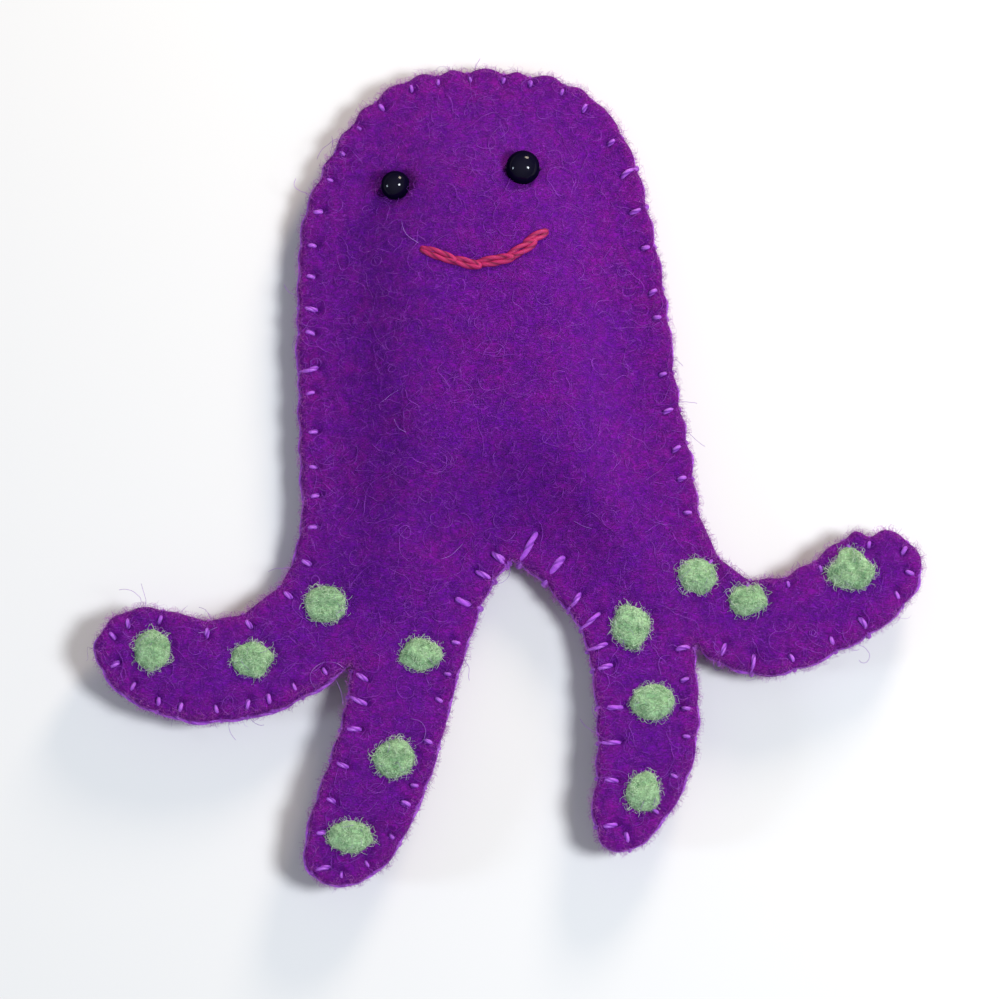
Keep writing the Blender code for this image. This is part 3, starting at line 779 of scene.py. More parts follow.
def relax(values, faces, held, rounds):
    """Values at the points of a mesh, each moved to its neighbours' mean a few times."""
    links = np.vstack([faces[:, (0, 1)], faces[:, (1, 2)], faces[:, (2, 0)]])
    links = np.vstack([links, links[:, ::-1]])
    near = np.bincount(links[:, 0], minlength=len(values))
    for _ in range(rounds):
        mean = np.bincount(links[:, 0], values[links[:, 1]], len(values)) / np.maximum(near, 1)
        values = np.where(held, values, 0.5 * (values + mean))
    return values


# %% [markdown]
# ## What presses into the felt
#
# Felt is soft, so all that is sewn or needled on to it leaves a hollow. Each stitch lies in a
# groove that ends in a pit, where its thread dives in. The spots and the smile lie in shallow
# hollows, and each bead in a deep one with a low collar round it. All of them are sums of bell
# curves, taken from the felt's height.

# %% What the thread, the beads and the spots do to the felt
SPOT_NODES = [name for name in frame["nodes"] if name.startswith("spot_")]
BEAD_NODES = [name for name in frame["nodes"] if name.startswith("eye_bead")]
GROOVE_DEPTH, GROOVE_WIDTH = 0.30, 0.42
PIT_DEPTH, PIT_WIDTH = 0.42, 0.42
SPOT_HOLLOW, SPOT_HOLLOW_WIDTH = 0.30, 0.7
# How far these sit from the solid model's, which was drawn for a flatter arm and for beads that
# stand higher
MOVES = {
    "eye_bead_left": (-0.05, 0.1),
    "eye_bead_right": (0.2, 0.25),
    "spot_right_arm_middle": (-0.1, 0.8),
    "spot_right_arm_inner": (0.0, 0.4),
    "spot_right_arm_outer": (0.0, 0.35),
    "spot_right_leg_upper": (0.0, 0.3),
    "spot_left_arm_inner": (0.0, 0.25),
}
# A bead's hollow and the collar round it: their heights, and their widths as shares of the bead
BEAD_HOLLOW, HOLLOW_WIDTH = 0.9, 0.5
BEAD_COLLAR, COLLAR_REACH, COLLAR_WIDTH = 0.14, 0.8, 0.7
MOUTH_POINTS = ((-8.8, 22.5), (-5.8, 21.2), (-3.3, 20.7), (0.0, 21.5), (2.3, 23.1), (4.0, 24.0))
MOUTH_GROOVE, MOUTH_GROOVE_WIDTH = 0.25, 0.9
LUMPS = ((7.0, 0.22), (2.6, 0.10), (1.1, 0.05))


def box_in_mm(node):
    """A node's middle and its size, in millimetres."""
    low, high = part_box(node)
    middle = np.array((low + high) / 2) / MM
    middle[:2] += MOVES.get(node, (0.0, 0.0))
    return middle, np.array(high - low) / MM


def stitch_dents(points):
    """How deep the stitches press into the felt at each point."""
    groove = bell(distance_to_sides(points, stitch_rims, stitch_ends), GROOVE_WIDTH).max(axis=1)
    pit = bell(np.hypot(*(points[:, None] - stitch_ends).transpose(2, 0, 1)), PIT_WIDTH).max(axis=1)
    return GROOVE_DEPTH * groove + PIT_DEPTH * pit


def face_dents(points):
    """How deep the spots, the beads and the smile press into the front at each point."""
    dent = np.zeros(len(points))
    for node in SPOT_NODES:
        middle, size = box_in_mm(node)
        reach = np.hypot(*((points - middle[:2]) / size[:2]).T) * 2
        dent += SPOT_HOLLOW * bell((reach - 1.0) * size[0] / 2, SPOT_HOLLOW_WIDTH)
    for node in BEAD_NODES:
        middle, size = box_in_mm(node)
        away = np.hypot(*(points - middle[:2]).T)
        collar = BEAD_COLLAR * bell(away - size[1] * COLLAR_REACH, COLLAR_WIDTH)
        dent += BEAD_HOLLOW * bell(away, size[1] * HOLLOW_WIDTH) - collar
    line = np.array(MOUTH_POINTS)
    along = distance_to_sides(points, line[:-1], line[1:]).min(axis=1)
    return dent + MOUTH_GROOVE * bell(along, MOUTH_GROOVE_WIDTH)


def lumps(points, seed):
    """The slight unevenness of hand-cut felt."""
    return sum(height * drift(points, size, seed) for size, height in LUMPS)


print(len(SPOT_NODES), "spots and", len(BEAD_NODES), "beads press into the front")

# %% [markdown]
# ## The two layers of felt
#
# Each layer is one closed sheet. Its middle surface comes from the solid model, smoothed until the
# facets are gone, and its two sides stand half a thickness above and below. They meet in a round
# edge. Then the hollows are pressed in. Three numbers are kept at each point, for the material and
# for the fibres that come later.

# %% Make a felt layer
FELT_THICKNESS = 1.2
THINNEST = 0.3
EDGE_ROUND = 0.75
EDGE_WARMTH = 1.3
DENTS_FROM, OPEN_FROM, FUZZY_RIM = 0.5, 1.2, 0.5
BACK_DENTS, BACK_LUMPS = 0.5, 0.3
HEIGHT_ROUNDS, ROUNDS_AT = 60, 0.4
FRONT_SEED, BACK_SEED = 3.0, 8.0


def store(piece, name, values):
    """Keeps one number for each point of a mesh, for a material or a geometry tree to read."""
    kept = piece.data.attributes.new(name, "FLOAT", "POINT")
    kept.data.foreach_set("value", values.astype(np.float32))


def store_sides(piece, name, values, rim, under=0.0):
    """Keeps a number on both sides of a closed sheet. The under side gets a share of it."""
    store(piece, name, np.concatenate([values, values[~rim] * under]))


def rounded(deep, radius):
    """The profile of a round edge: 0 at the rim and 1 from one radius inwards."""
    return np.sqrt(1.0 - (1.0 - np.clip(deep / radius, 0.0, 1.0)) ** 2)


def closed_sheet(name, flat, faces, rim, top, under, material):
    """A closed sheet from the heights of its two sides, which share the points on the rim."""
    lower = np.full(len(flat), -1)
    lower[rim] = np.flatnonzero(rim)
    lower[~rim] = len(flat) + np.arange((~rim).sum())
    places = np.vstack([np.column_stack([flat, top]), np.column_stack([flat, under])[~rim]])
    return new_piece(name, places, [*faces.tolist(), *lower[faces][:, ::-1].tolist()], material)


def felt_layer(name, node, holes, spacing, decorated):
    """One closed layer of felt. The decorated one is the front, which carries the face."""
    flat, faces, rim_count = fill(OUTLINE, holes, spacing)
    tree = ray_tree(frame["nodes"][node].data)
    rim = np.arange(len(flat)) < rim_count
    middle = (heights(tree, flat, False) + heights(tree, flat, True)) / 2
    middle = relax(middle, faces, rim, round(HEIGHT_ROUNDS * (ROUNDS_AT / spacing) ** 2))
    deep = distance_to_loops(flat, [OUTLINE, *holes])
    half = FELT_THICKNESS / 2 * rounded(deep, EDGE_ROUND)
    dent = stitch_dents(flat) * ease(deep / DENTS_FROM)
    if decorated:
        top = middle + half - dent - face_dents(flat) + lumps(flat, FRONT_SEED)
        under = np.minimum(middle - half, top - THINNEST)
    else:
        top = middle + half
        raised = dent * BACK_DENTS
        under = middle - half + raised + np.abs(lumps(flat, BACK_SEED)) * BACK_LUMPS
    top[rim], under[rim] = middle[rim], middle[rim]
    piece = closed_sheet(name, flat, faces, rim, top, under, FELT)
    store_sides(piece, "edge", np.exp(-deep / EDGE_WARMTH), rim, under=1.0)
    store_sides(piece, "open", ease(deep / OPEN_FROM), rim)
    store_sides(piece, "rim", bell(deep, FUZZY_RIM), rim, under=1.0)
    return piece


felt_front = felt_layer("felt_front", "front_panel", [], 0.36, decorated=True)
felt_back = felt_layer("felt_back", "back_panel", [OPENING], 0.5, decorated=False)
for piece in (felt_front, felt_back):
    print(piece.name, count_triangles(piece), "triangles")

# %% [markdown]
# ## Twisted thread
#
# The seam and the smile are sewn with thread of two plies. A geometry tree turns any line into such
# thread. It sets points a fixed step apart, turns the section steadily on the way, and sweeps a
# section with a waist, which is what two plies side by side look like. The plies then wind round
# each other without being modelled one by one. The tree also keeps the place along and around the
# thread, so that the material can draw its fibres.


# %% The thread tree
def kept_on(tree, shape, name, value, sort):
    """A shape with a value stored on its points, as a socket."""
    inputs = {0: shape, 2: name, 3: value}
    return out_of(tree, "GeometryNodeStoreNamedAttribute", inputs, data_type=sort)


def read_back(tree, name):
    """A number that was stored on the points, as a socket."""
    return out_of(tree, "GeometryNodeInputNamedAttribute", {0: name}, data_type="FLOAT")


def finished(tree, shape, material):
    """Real, smooth faces of one material, as a socket."""
    shape = out_of(tree, "GeometryNodeRealizeInstances", {0: shape})
    shape = out_of(tree, "GeometryNodeSetShadeSmooth", {0: shape, 2: True})
    return out_of(tree, "GeometryNodeSetMaterial", {0: shape, 2: material})


def make_thread_tree():
    """Lines in, two-ply thread out. Turns are given for each millimetre."""
    tree, given, result = new_tree(
        "twisted_thread",
        "GeometryNodeTree",
        (
            ("Lines", "Geometry"),
            ("Thickness", "Float", 0.45 * MM),
            ("Turns", "Float", 0.6),
            ("Step", "Float", 0.12 * MM),
            ("Sides", "Int", 10),
            ("Waist", "Float", 0.6),
            ("Material", "Material"),
        ),
        (("Thread", "Geometry"),),
    )
    line = out_of(tree, "GeometryNodeMeshToCurve", {0: given["Lines"]})
    line = out_of(tree, "GeometryNodeResampleCurve", {0: line, 3: given["Step"]}, mode="LENGTH")
    travelled = maths(tree, "DIVIDE", put(tree, "GeometryNodeSplineParameter").outputs[1], MM)
    turned = maths(tree, "MULTIPLY", travelled, given["Turns"], TURN)
    line = out_of(tree, "GeometryNodeSetCurveTilt", {0: line, 2: turned})
    line = kept_on(tree, line, "along", travelled, "FLOAT")
    place = out_of(tree, "GeometryNodeInputPosition")
    ring = out_of(tree, "GeometryNodeCurvePrimitiveCircle", {0: given["Sides"], 4: 1.0})
    ring = kept_on(tree, ring, "around", place, "FLOAT_VECTOR")
    sideways = maths(tree, "ABSOLUTE", out_of(tree, "ShaderNodeSeparateXYZ", {0: place}))
    narrowed = scaled(tree, place, spread(tree, sideways, 0.0, 1.0, given["Waist"], 1.0))
    ring = out_of(tree, "GeometryNodeSetPosition", {0: ring, 2: narrowed})
    radius = maths(tree, "MULTIPLY", given["Thickness"], 0.5, read_back(tree, "girth"))
    thread = out_of(tree, "GeometryNodeCurveToMesh", {0: line, 1: ring, 2: radius, 3: True})
    feed(tree, result, {0: finished(tree, thread, given["Material"])})
    return tree


THREAD_TREE = make_thread_tree()
print("thread tree of", len(THREAD_TREE.nodes), "nodes")


# %% From lines to thread
def grow(name, host, tree, values):
    """Runs a geometry tree on an object and gives what it makes as a plain mesh object."""
    modifier = host.modifiers.new(name, "NODES")
    modifier.node_group = tree
    for socket in tree.interface.items_tree:
        if socket.in_out == "INPUT" and socket.name in values:
            modifier[socket.identifier] = values[socket.name]
    state = bpy.context.evaluated_depsgraph_get()
    evaluated = host.evaluated_get(state)
    mesh = bpy.data.meshes.new_from_object(
        evaluated, preserve_all_data_layers=True, depsgraph=state
    )
    mesh.name = name
    host.modifiers.remove(modifier)
    return new_object(name, mesh)


def lay_thread(name, runs, thickness, material, closed=(), girths=None, **values):
    """Thread along lines of places in millimetres. The closed ones come back to their start."""
    places, sides = [], []
    for index, run in enumerate(runs):
        first = len(places)
        places += [tuple(place) for place in run]
        sides += [(n, n + 1) for n in range(first, len(places) - 1)]
        if index in closed:
            sides.append((len(places) - 1, first))
    mesh = bpy.data.meshes.new(name + "_line")
    mesh.from_pydata((np.array(places) * MM).tolist(), sides, [])
    host = new_object(name + "_line", mesh)
    store(host, "girth", np.ones(len(places)) if girths is None else np.concatenate(girths))
    values = {"Thickness": thickness * MM, "Material": material, **values}
    piece = grow(name, host, THREAD_TREE, values)
    bpy.data.objects.remove(host)
    bpy.data.meshes.remove(mesh)
    return piece


def smooth_run(points, between=6):
    """A smooth open line through a few points in space."""
    points = np.asarray(points, float)
    padded = np.vstack([2 * points[0] - points[1], points, 2 * points[-1] - points[-2]])
    line = []
    for index in range(len(points) - 1):
        before, start, end, after = padded[index : index + 4]
        for share in np.arange(between) / between:
            line.append(
                start
                + share * (end - before) / 2
                + share**2 * (2 * before - 5 * start + 4 * end - after) / 2
                + share**3 * (3 * start - before - 3 * end + after) / 2
            )
    return np.array([*line, points[-1]])


print("a smooth run through 3 places has", len(smooth_run([(0, 0), (1, 0), (1, 1)])), "points")

# %% [markdown]
# ## Thread, loose wool and glass
#
# Spun thread has fibres that run along it. The hollows between its plies are painted dark as
# shade, and its pale fibres show only on the crowns, partly as its own streaks and partly as a
# painted highlight. The group reads the place along and around the thread, which the thread tree
# kept. A loose fibre needs only a tone that drifts from place to place. The beads are glossy black
# glass with faint waves, so that each bright shape in them is a little uneven.


# %% Thread and bead materials
SPUN_LENGTH = 0.45
STRANDS, SPUN_PATCHES = (3.6, 3.0), (0.9, 1.0)


def make_yarn_group():
    """Spun fibres along a thread: its colour and the height of its surface."""
    tree, given, result = new_tree(
        "spun_thread",
        "ShaderNodeTree",
        (("Main", "Color"), ("Deep", "Color"), ("Pale", "Color")),
        (("Color", "Color"), ("Height", "Float")),
    )
    around = put(tree, "ShaderNodeAttribute", attribute_name="around").outputs["Vector"]
    along = put(tree, "ShaderNodeAttribute", attribute_name="along").outputs["Fac"]
    sides = put(tree, "ShaderNodeSeparateXYZ", {0: around}).outputs
    lengthwise = maths(tree, "MULTIPLY", along, SPUN_LENGTH)
    where = out_of(tree, "ShaderNodeCombineXYZ", {0: sides[0], 1: sides[1], 2: lengthwise})
    strands = noise_at(tree, where, *STRANDS)
    patches = noise_at(tree, where, *SPUN_PATCHES)
    # Painted shade: the waist between the two plies takes the shade tone, the crowns the main tone.
    crown_lit = spread(tree, maths(tree, "ABSOLUTE", sides[0]), 0.0, 0.75)
    colour = blend_colours(tree, crown_lit, given["Deep"], given["Main"])
    # Pale streaks on the crowns only: the thread's own fibres, with a painted highlight.
    pale = maths(tree, "MULTIPLY", spread(tree, strands, 0.5, 0.72), crown_lit, 0.8)
    colour = blend_colours(tree, pale, colour, given["Pale"])
    colour = toned(tree, colour, spread(tree, patches, 0.3, 0.7, 0.8, 1.12))
    feed(tree, result, {"Color": colour, "Height": strands})
    return tree


YARN_GROUP = make_yarn_group()


def yarn_material(name, main, deep, pale, sheen):
    """Spun thread in three tones."""
    material, tree, shader = new_material(name)
    # The deep tone is a painted shade between the plies; the pale one is partly a painted highlight.
    tones = {"Main": linear(*main), "Deep": linear(*deep), "Pale": linear(*pale)}
    yarn = put(tree, "ShaderNodeGroup", tones, node_tree=YARN_GROUP).outputs
    look = {
        "Base Color": yarn["Color"],
        "Normal": bumped(tree, yarn["Height"], 0.06),
        "Roughness": 0.55,
        "Specular IOR Level": 0.3,
        "Sheen Weight": sheen,
        "Sheen Tint": tones["Pale"],
    }
    feed(tree, shader, look)
    return material


def fibre_material(name, dark, pale):
    """Single loose fibres, whose tone drifts slowly from one place to the next."""
    material, tree, shader = new_material(name)
    tone = spread(tree, noise_at(tree, object_place(tree), 0.8, 2.0), 0.35, 0.65)
    colour = blend_colours(tree, tone, linear(*dark), linear(*pale))
    feed(tree, shader, {"Base Color": colour, "Roughness": 0.5, "Specular IOR Level": 0.3})
    return material


def bead_material():
    """Glossy black glass, faintly blue. It shines least at the rim, where dark felt is near."""
    material, tree, shader = new_material("black_glass")
    place = object_place(tree)
    facing = put(tree, "ShaderNodeLayerWeight").outputs["Facing"]
    look = {
        "Base Color": linear(8, 5, 26),
        "Normal": bumped(tree, noise_at(tree, place, 0.7, 1.0), 0.12),
        "Roughness": spread(tree, noise_at(tree, place, 2.4, 3.0), 0.3, 0.7, 0.05, 0.16),
        "IOR": spread(tree, facing, 0.0, 0.45, 1.46, 1.03),
    }
    feed(tree, shader, look)
    return material


# Tones of each thread: main, a painted shade between the plies, pale for the crowns, and sheen
LILAC_THREAD = yarn_material("lilac_thread", (174, 76, 220), (122, 38, 172), (220, 154, 248), 0.3)
RED_THREAD = yarn_material("red_thread", (176, 28, 92), (108, 8, 60), (204, 60, 114), 0.15)
DARK_THREAD = yarn_material("dark_thread", (52, 12, 74), (22, 6, 34), (90, 40, 116), 0.2)
LOOSE_PURPLE = fibre_material("loose_purple_wool", (110, 26, 152), (160, 72, 204))
LOOSE_EDGE = fibre_material("loose_edge_wool", (140, 44, 156), (186, 96, 196))
LOOSE_PALE = fibre_material("loose_pale_wool", (140, 70, 190), (190, 136, 226))
LOOSE_GREEN = fibre_material("loose_green_wool", (178, 214, 166), (222, 244, 210))
BLACK_GLASS = bead_material()
print("eight more materials")

# %% [markdown]
# ## The blanket stitch
#
# Blanket stitch has two parts. A purl runs round the edge between the layers, and at each stitch a
# leg comes over the edge and dives into the felt. The leg starts underneath, passes outside the
# purl and ends in the pit that the felt already has there. Heights come from the finished felt, so
# the thread lies on it and is half sunk in.

# %% Sew the seam
SEAM_THREAD = 0.5
SEAM_TURNS, SEAM_WAIST = 0.3, 0.78
FLOOR_GAP = 0.02
# The purl: how far out it lies, how much further on the left, how much less where the edge faces
# the head's end, and how high
PURL_OUT, PURL_LEFT, PURL_BEHIND, PURL_RISE = -0.12, 0.14, 0.35, 0.3
LEFT_STARTS, LEFT_FADE = -15.0, 4.0
# How far it moves out at each stitch, and how near the stitch
AT_STITCH, STITCH_REACH = 0.12, 0.8
# How it wanders to the side and up: how far, over what length, and the seed
WANDER, SWAY = (0.22, 2.7, 4.0), (0.3, 4.1, 9.0)
PURL_GIRTH, LEG_GIRTHS = 0.92, (0.92, 1.14)
RIM_INSET = 0.15
# Stitches shorter than the first sink deeper, those longer than the second show as they cross the
# edge, and those longer than the third are of thicker thread
TINY_STITCH, LONG_STITCH, WIDE_STITCH = 1.25, 1.75, 2.45
TINY_SINKS, MOST_SUNK, WIDE_GIRTH, LEG_BEND = 0.22, 0.26, 1.45, 0.08
# Three places under the back, as shares of a leg's depth
UNDER_PLACES = (0.8, 0.62, 0.3)
# Five places on the front side of a leg, as shares of its depth, and how much it bows to the side
# there
LEG_PLACES = (0.25, 0.45, 0.62, 0.88, 1.0)
LEG_BOWS = (0.6, 1.0, 1.0, 0.6, 0.0)
# How high a leg stands above the felt at each of them, and how much it is lowered where it is sunk
LONG_LEG = ((-0.02, 2.0), (0.16, 1.0), (0.22, 0.5), (0.1, 0.0), (-0.5, 0.0))
SHORT_LEG = ((-0.45, 0.0), (-0.18, 1.0), (0.14, 0.5), (0.14, 0.5), (-0.5, 0.0))

front_skin, back_skin = ray_tree(felt_front.data), ray_tree(felt_back.data)


def middle_level(skin, points):
    """The height of the middle of a layer at each point."""
    return (heights(skin, points, True) + heights(skin, points, False)) / 2


def seam_level(points):
    """The height at which the two layers meet at each point."""
    return (middle_level(front_skin, points) + middle_level(back_skin, points)) / 2


def purl_line():
    """The thread that runs round the edge, wandering in and out and up and down."""
    travel = np.arange(0.0, length_of(OUTLINE), OUTLINE_STEP)
    points, inward = stations(OUTLINE, travel)
    near = bell(np.abs(travel[:, None] - stitch_travel).min(axis=1), STITCH_REACH)
    places = [(place, 0.0) for place in travel]
    wander, sway = (far * drift(places, size, seed) for far, size, seed in (WANDER, SWAY))
    left = PURL_LEFT * ease((LEFT_STARTS - points[:, 0]) / LEFT_FADE)
    out = PURL_OUT + AT_STITCH * near + wander + left
    out -= PURL_BEHIND * ease(-inward[:, 1])
    level = seam_level(points + inward * RIM_INSET)
    return np.column_stack([points - inward * out[:, None], level + PURL_RISE + sway])


def stitch_leg(index, chance):
    """One leg: from under the back layer, round the edge, over the front and down into the felt.

    A short stitch is so tight that the felt closes over it at the edge, and only its end shows.
    """
    rim, way, depth = stitch_rims[index], stitch_ways[index], stitch_depth[index]
    lowest = SEAM_THREAD / 2 + FLOOR_GAP
    sunk = chance.uniform(0.0, MOST_SUNK)
    side = np.array((way[1], -way[0])) * chance.normal(0.0, LEG_BEND)
    ins = np.array(UNDER_PLACES) * depth
    below = np.maximum(heights(back_skin, rim + way * ins[:, None], False), lowest)
    outs = np.array(LEG_PLACES) * depth
    above = heights(front_skin, rim + way * outs[:, None], True)
    seam = seam_level([rim + way * RIM_INSET])[0]
    beyond, rises = (0.18, LONG_LEG) if depth > LONG_STITCH else (-0.08, SHORT_LEG)
    sunk += TINY_SINKS if depth < TINY_STITCH else 0.0
    points = [
        (*(rim + way * ins[0]), below[0] + 0.4),
        (*(rim + way * ins[1]), max(below[1] - 0.02, lowest)),
        (*(rim + way * ins[2]), max(below[2] - 0.08, lowest)),
        (*(rim - way * 0.06), seam - 0.7),
        (*(rim - way * beyond), seam + 0.1),
        (*(rim + way * 0.1), seam + 0.7),
    ]
    points += [
        (*(rim + way * out + side * bow), level + (rise - sinks * sunk))
        for out, level, (rise, sinks), bow in zip(outs, above, rises, LEG_BOWS)
    ]
    return smooth_run(points, 4)


chance = np.random.default_rng(SEED)
legs = [stitch_leg(index, chance) for index in range(len(stitch_depth))]
purl = purl_line()
girths = [np.full(len(purl), PURL_GIRTH)]
for leg, depth in zip(legs, stitch_depth):
    girth = chance.uniform(*LEG_GIRTHS) * (WIDE_GIRTH if depth > WIDE_STITCH else 1.0)
    girths.append(np.full(len(leg), girth))
seam_thread = lay_thread(
    "seam_thread_sewn",
    [purl, *legs],
    SEAM_THREAD,
    LILAC_THREAD,
    closed={0},
    girths=girths,
    Turns=SEAM_TURNS,
    Waist=SEAM_WAIST,
)
print(len(legs), "stitches,", count_triangles(seam_thread), "triangles")

# %% [markdown]
# ## The smile
#
# The smile is chain stitch. Each link is a loop that comes up at one point, spreads, and closes at
# the next, where the following link holds it down. So each is drawn as a flat teardrop on the felt,
# with both ends sunk.

# %% Sew the smile
MOUTH_THREAD = 0.62
# Half a link: how far along it each place is, how far out to the side, and how high above the felt
LINK_SHAPE = (
    (0.0, 0.3, -0.5),
    (0.05, 0.5, -0.05),
    (0.3, 0.85, 0.14),
    (0.62, 1.0, 0.16),
    (0.92, 0.75, 0.2),
)
LINK_TIP = (1.08, 0.0, 0.22)
# Each link: where it starts, where it ends, and how wide it opens
LINKS = (
    ((-8.9, 22.3), (-5.7, 21.1), 1.18),
    ((-6.0, 21.2), (-3.2, 20.5), 1.14),
    ((-3.4, 20.7), (0.1, 21.3), 1.2),
    ((-0.3, 21.3), (2.4, 22.9), 1.22),
    ((1.6, 22.9), (3.6, 24.1), 1.08),
)


def link_line(start, end, width):
    """One link of chain stitch on the front layer."""
    start, end = np.array(start), np.array(end)
    ahead = end - start
    across = np.array((-ahead[1], ahead[0])) / np.hypot(*ahead) * (width - MOUTH_THREAD) / 2
    back = [(share, -side, lift) for share, side, lift in LINK_SHAPE[::-1]]
    shares, sides, lifts = np.array([*LINK_SHAPE, LINK_TIP, *back]).T
    flat = start + ahead * shares[:, None] + across * sides[:, None]
    return smooth_run(np.column_stack([flat, heights(front_skin, flat, True) + lifts]))


links = [link_line(*link) for link in LINKS]
smile = lay_thread("smile", links, MOUTH_THREAD, RED_THREAD, Turns=0.3, Waist=0.8)
print("smile", count_triangles(smile), "triangles")

# %% [markdown]
# ## Bead eyes
#
# Each eye is one round glass bead with its hole lying across the face. It is turned: a profile of
# the outside and of the hole goes once round the hole's axis. One dark thread holds both. It comes
# up beside a bead, goes through it and down again, and runs on behind the face, where only the
# inside of the pocket would show it.

# %% Turn the beads
BEAD_ROUND, BEAD_STEPS = 28, 48
BORE = 0.45
BEAD_STANDS = 0.42
BEAD_GROWS, SEAT_REACH, SEAT_STEPS = 1.02, 1.1, 24
EYE_THREAD = 0.32
LEFT_TAIL, RIGHT_TAIL = (-13.6, 25.8), (0.0, -3.5)


def bead_place(node):
    """A bead's middle and radius. The thread pulls it down until over a quarter of it is sunk."""
    middle, size = box_in_mm(node)
    radius = max(size[1:]) / 2 * BEAD_GROWS
    turns = np.arange(SEAT_STEPS) * TURN / SEAT_STEPS
    seat = middle[:2] + SEAT_REACH * radius * np.stack([np.cos(turns), np.sin(turns)], axis=1)
    level = heights(front_skin, seat, True).mean()
    return np.array((*middle[:2], level + BEAD_STANDS * radius)), radius


def turned_bead(name, node):
    """A round bead in place of a solid one, with its hole along X."""
    middle, radius = bead_place(node)
    first = math.asin(BORE / radius)
    angles = np.linspace(first, math.pi - first, BEAD_ROUND)
    profile = [(radius * math.cos(angle), radius * math.sin(angle)) for angle in angles]
    profile += [(x, BORE * 0.8) for x in np.linspace(-0.86, 0.86, 4) * radius]
    places, faces = [], []
    count = len(profile)
    for step in range(BEAD_STEPS):
        turn = step * TURN / BEAD_STEPS
        places += [middle + (x, far * math.cos(turn), far * math.sin(turn)) for x, far in profile]
        here, there = step * count, (step + 1) % BEAD_STEPS * count
        for n in range(count):
            onward = (n + 1) % count
            faces.append((here + n, here + onward, there + onward, there + n))
    return new_piece(name, places, faces, BLACK_GLASS)


beads = {node: turned_bead(node.replace("eye_bead", "glass_bead"), node) for node in BEAD_NODES}
print(len(beads), "beads of", count_triangles(beads["eye_bead_right"]), "triangles")


# %% Thread the beads
def behind_face(start, end):
    """Places on a straight way just under the front layer."""
    flat = np.linspace(start, end, 7)
    return [(x, y, level - 0.25) for (x, y), level in zip(flat, heights(front_skin, flat, False))]


def eye_line():
    """One thread: a tail, the first bead, a run behind the face, the second bead and a tail."""
    line = [LEFT_TAIL]
    for node in ("eye_bead_left", "eye_bead_right"):
        middle, radius = bead_place(node)
        left, right = middle[:2] - (radius + 0.02, 0.0), middle[:2] + (radius + 0.02, 0.0)
        line += behind_face(np.array(line[-1][:2]), left)
        line += [(*(left + (0.06, 0.0)), middle[2] - 0.3), (*(left + (0.3, 0.0)), middle[2])]
        line.append(tuple(middle))
        line += [(*(right - (0.3, 0.0)), middle[2]), (*(right - (0.06, 0.0)), middle[2] - 0.3)]
        line.append(behind_face(right, right)[0])
    tail = np.array(line[-1][:2])
    return smooth_run([*line[1:], *behind_face(tail, tail + RIGHT_TAIL)[1:]], 4)


eye_thread = lay_thread("eye_thread_sewn", [eye_line()], EYE_THREAD, DARK_THREAD)
print("eye thread", count_triangles(eye_thread), "triangles")

# %% [markdown]
# ## Loose fibres
#
# Felt is never bald. One geometry tree scatters curled fibres over any surface that says, with an
# attribute of its own, where they stand. Four curled shapes are made once and used again and again.
# Each is laid along the surface in a random direction, lifted a little along its normal and rolled
# by chance.

# %% The fibre tree
# Each curled shape: how fast it waves to one side and to the other, and where each wave begins
CURLS = ((3.0, 4.4, 0.3, 1.1), (5.2, 3.1, 1.7, 0.2), (7.4, 5.6, 4.0, 2.3), (4.1, 8.0, 2.6, 5.0))
FIBRE_TAPER = 0.6


def curled_fibre(tree, given, curl):
    """One curled fibre, as a socket."""
    first, second, early, late = curl
    points = maths(tree, "ADD", given["Segments"], 1.0)
    line = out_of(tree, "GeometryNodeCurvePrimitiveLine", {0: (0, 0, 0), 1: (0, 0, 1)})
    line = out_of(tree, "GeometryNodeResampleCurve", {0: line, 2: points}, mode="COUNT")
    share = out_of(tree, "GeometryNodeSplineParameter")
    width = maths(tree, "MULTIPLY", given["Curl"], given["Length"])
    sides = []
    for pace, begin in ((first, early), (second, late)):
        wave = maths(tree, "SINE", maths(tree, "ADD", maths(tree, "MULTIPLY", share, pace), begin))
        wave = maths(tree, "SUBTRACT", wave, math.sin(begin))
        sides.append(maths(tree, "MULTIPLY", wave, width))
    tall = maths(tree, "MULTIPLY", share, given["Length"])
    place = out_of(tree, "ShaderNodeCombineXYZ", {0: sides[0], 1: sides[1], 2: tall})
    line = out_of(tree, "GeometryNodeSetPosition", {0: line, 2: place})
    ring = out_of(tree, "GeometryNodeCurvePrimitiveCircle", {0: 3, 4: 0.5})
    taper = spread(tree, share, 0.0, 1.0, 1.0, 1.0 - FIBRE_TAPER)
    girth = maths(tree, "MULTIPLY", given["Thickness"], taper)
    fibre = out_of(tree, "GeometryNodeCurveToMesh", {0: line, 1: ring, 2: girth})
    return out_of(tree, "GeometryNodeGeometryToInstance", {0: fibre})


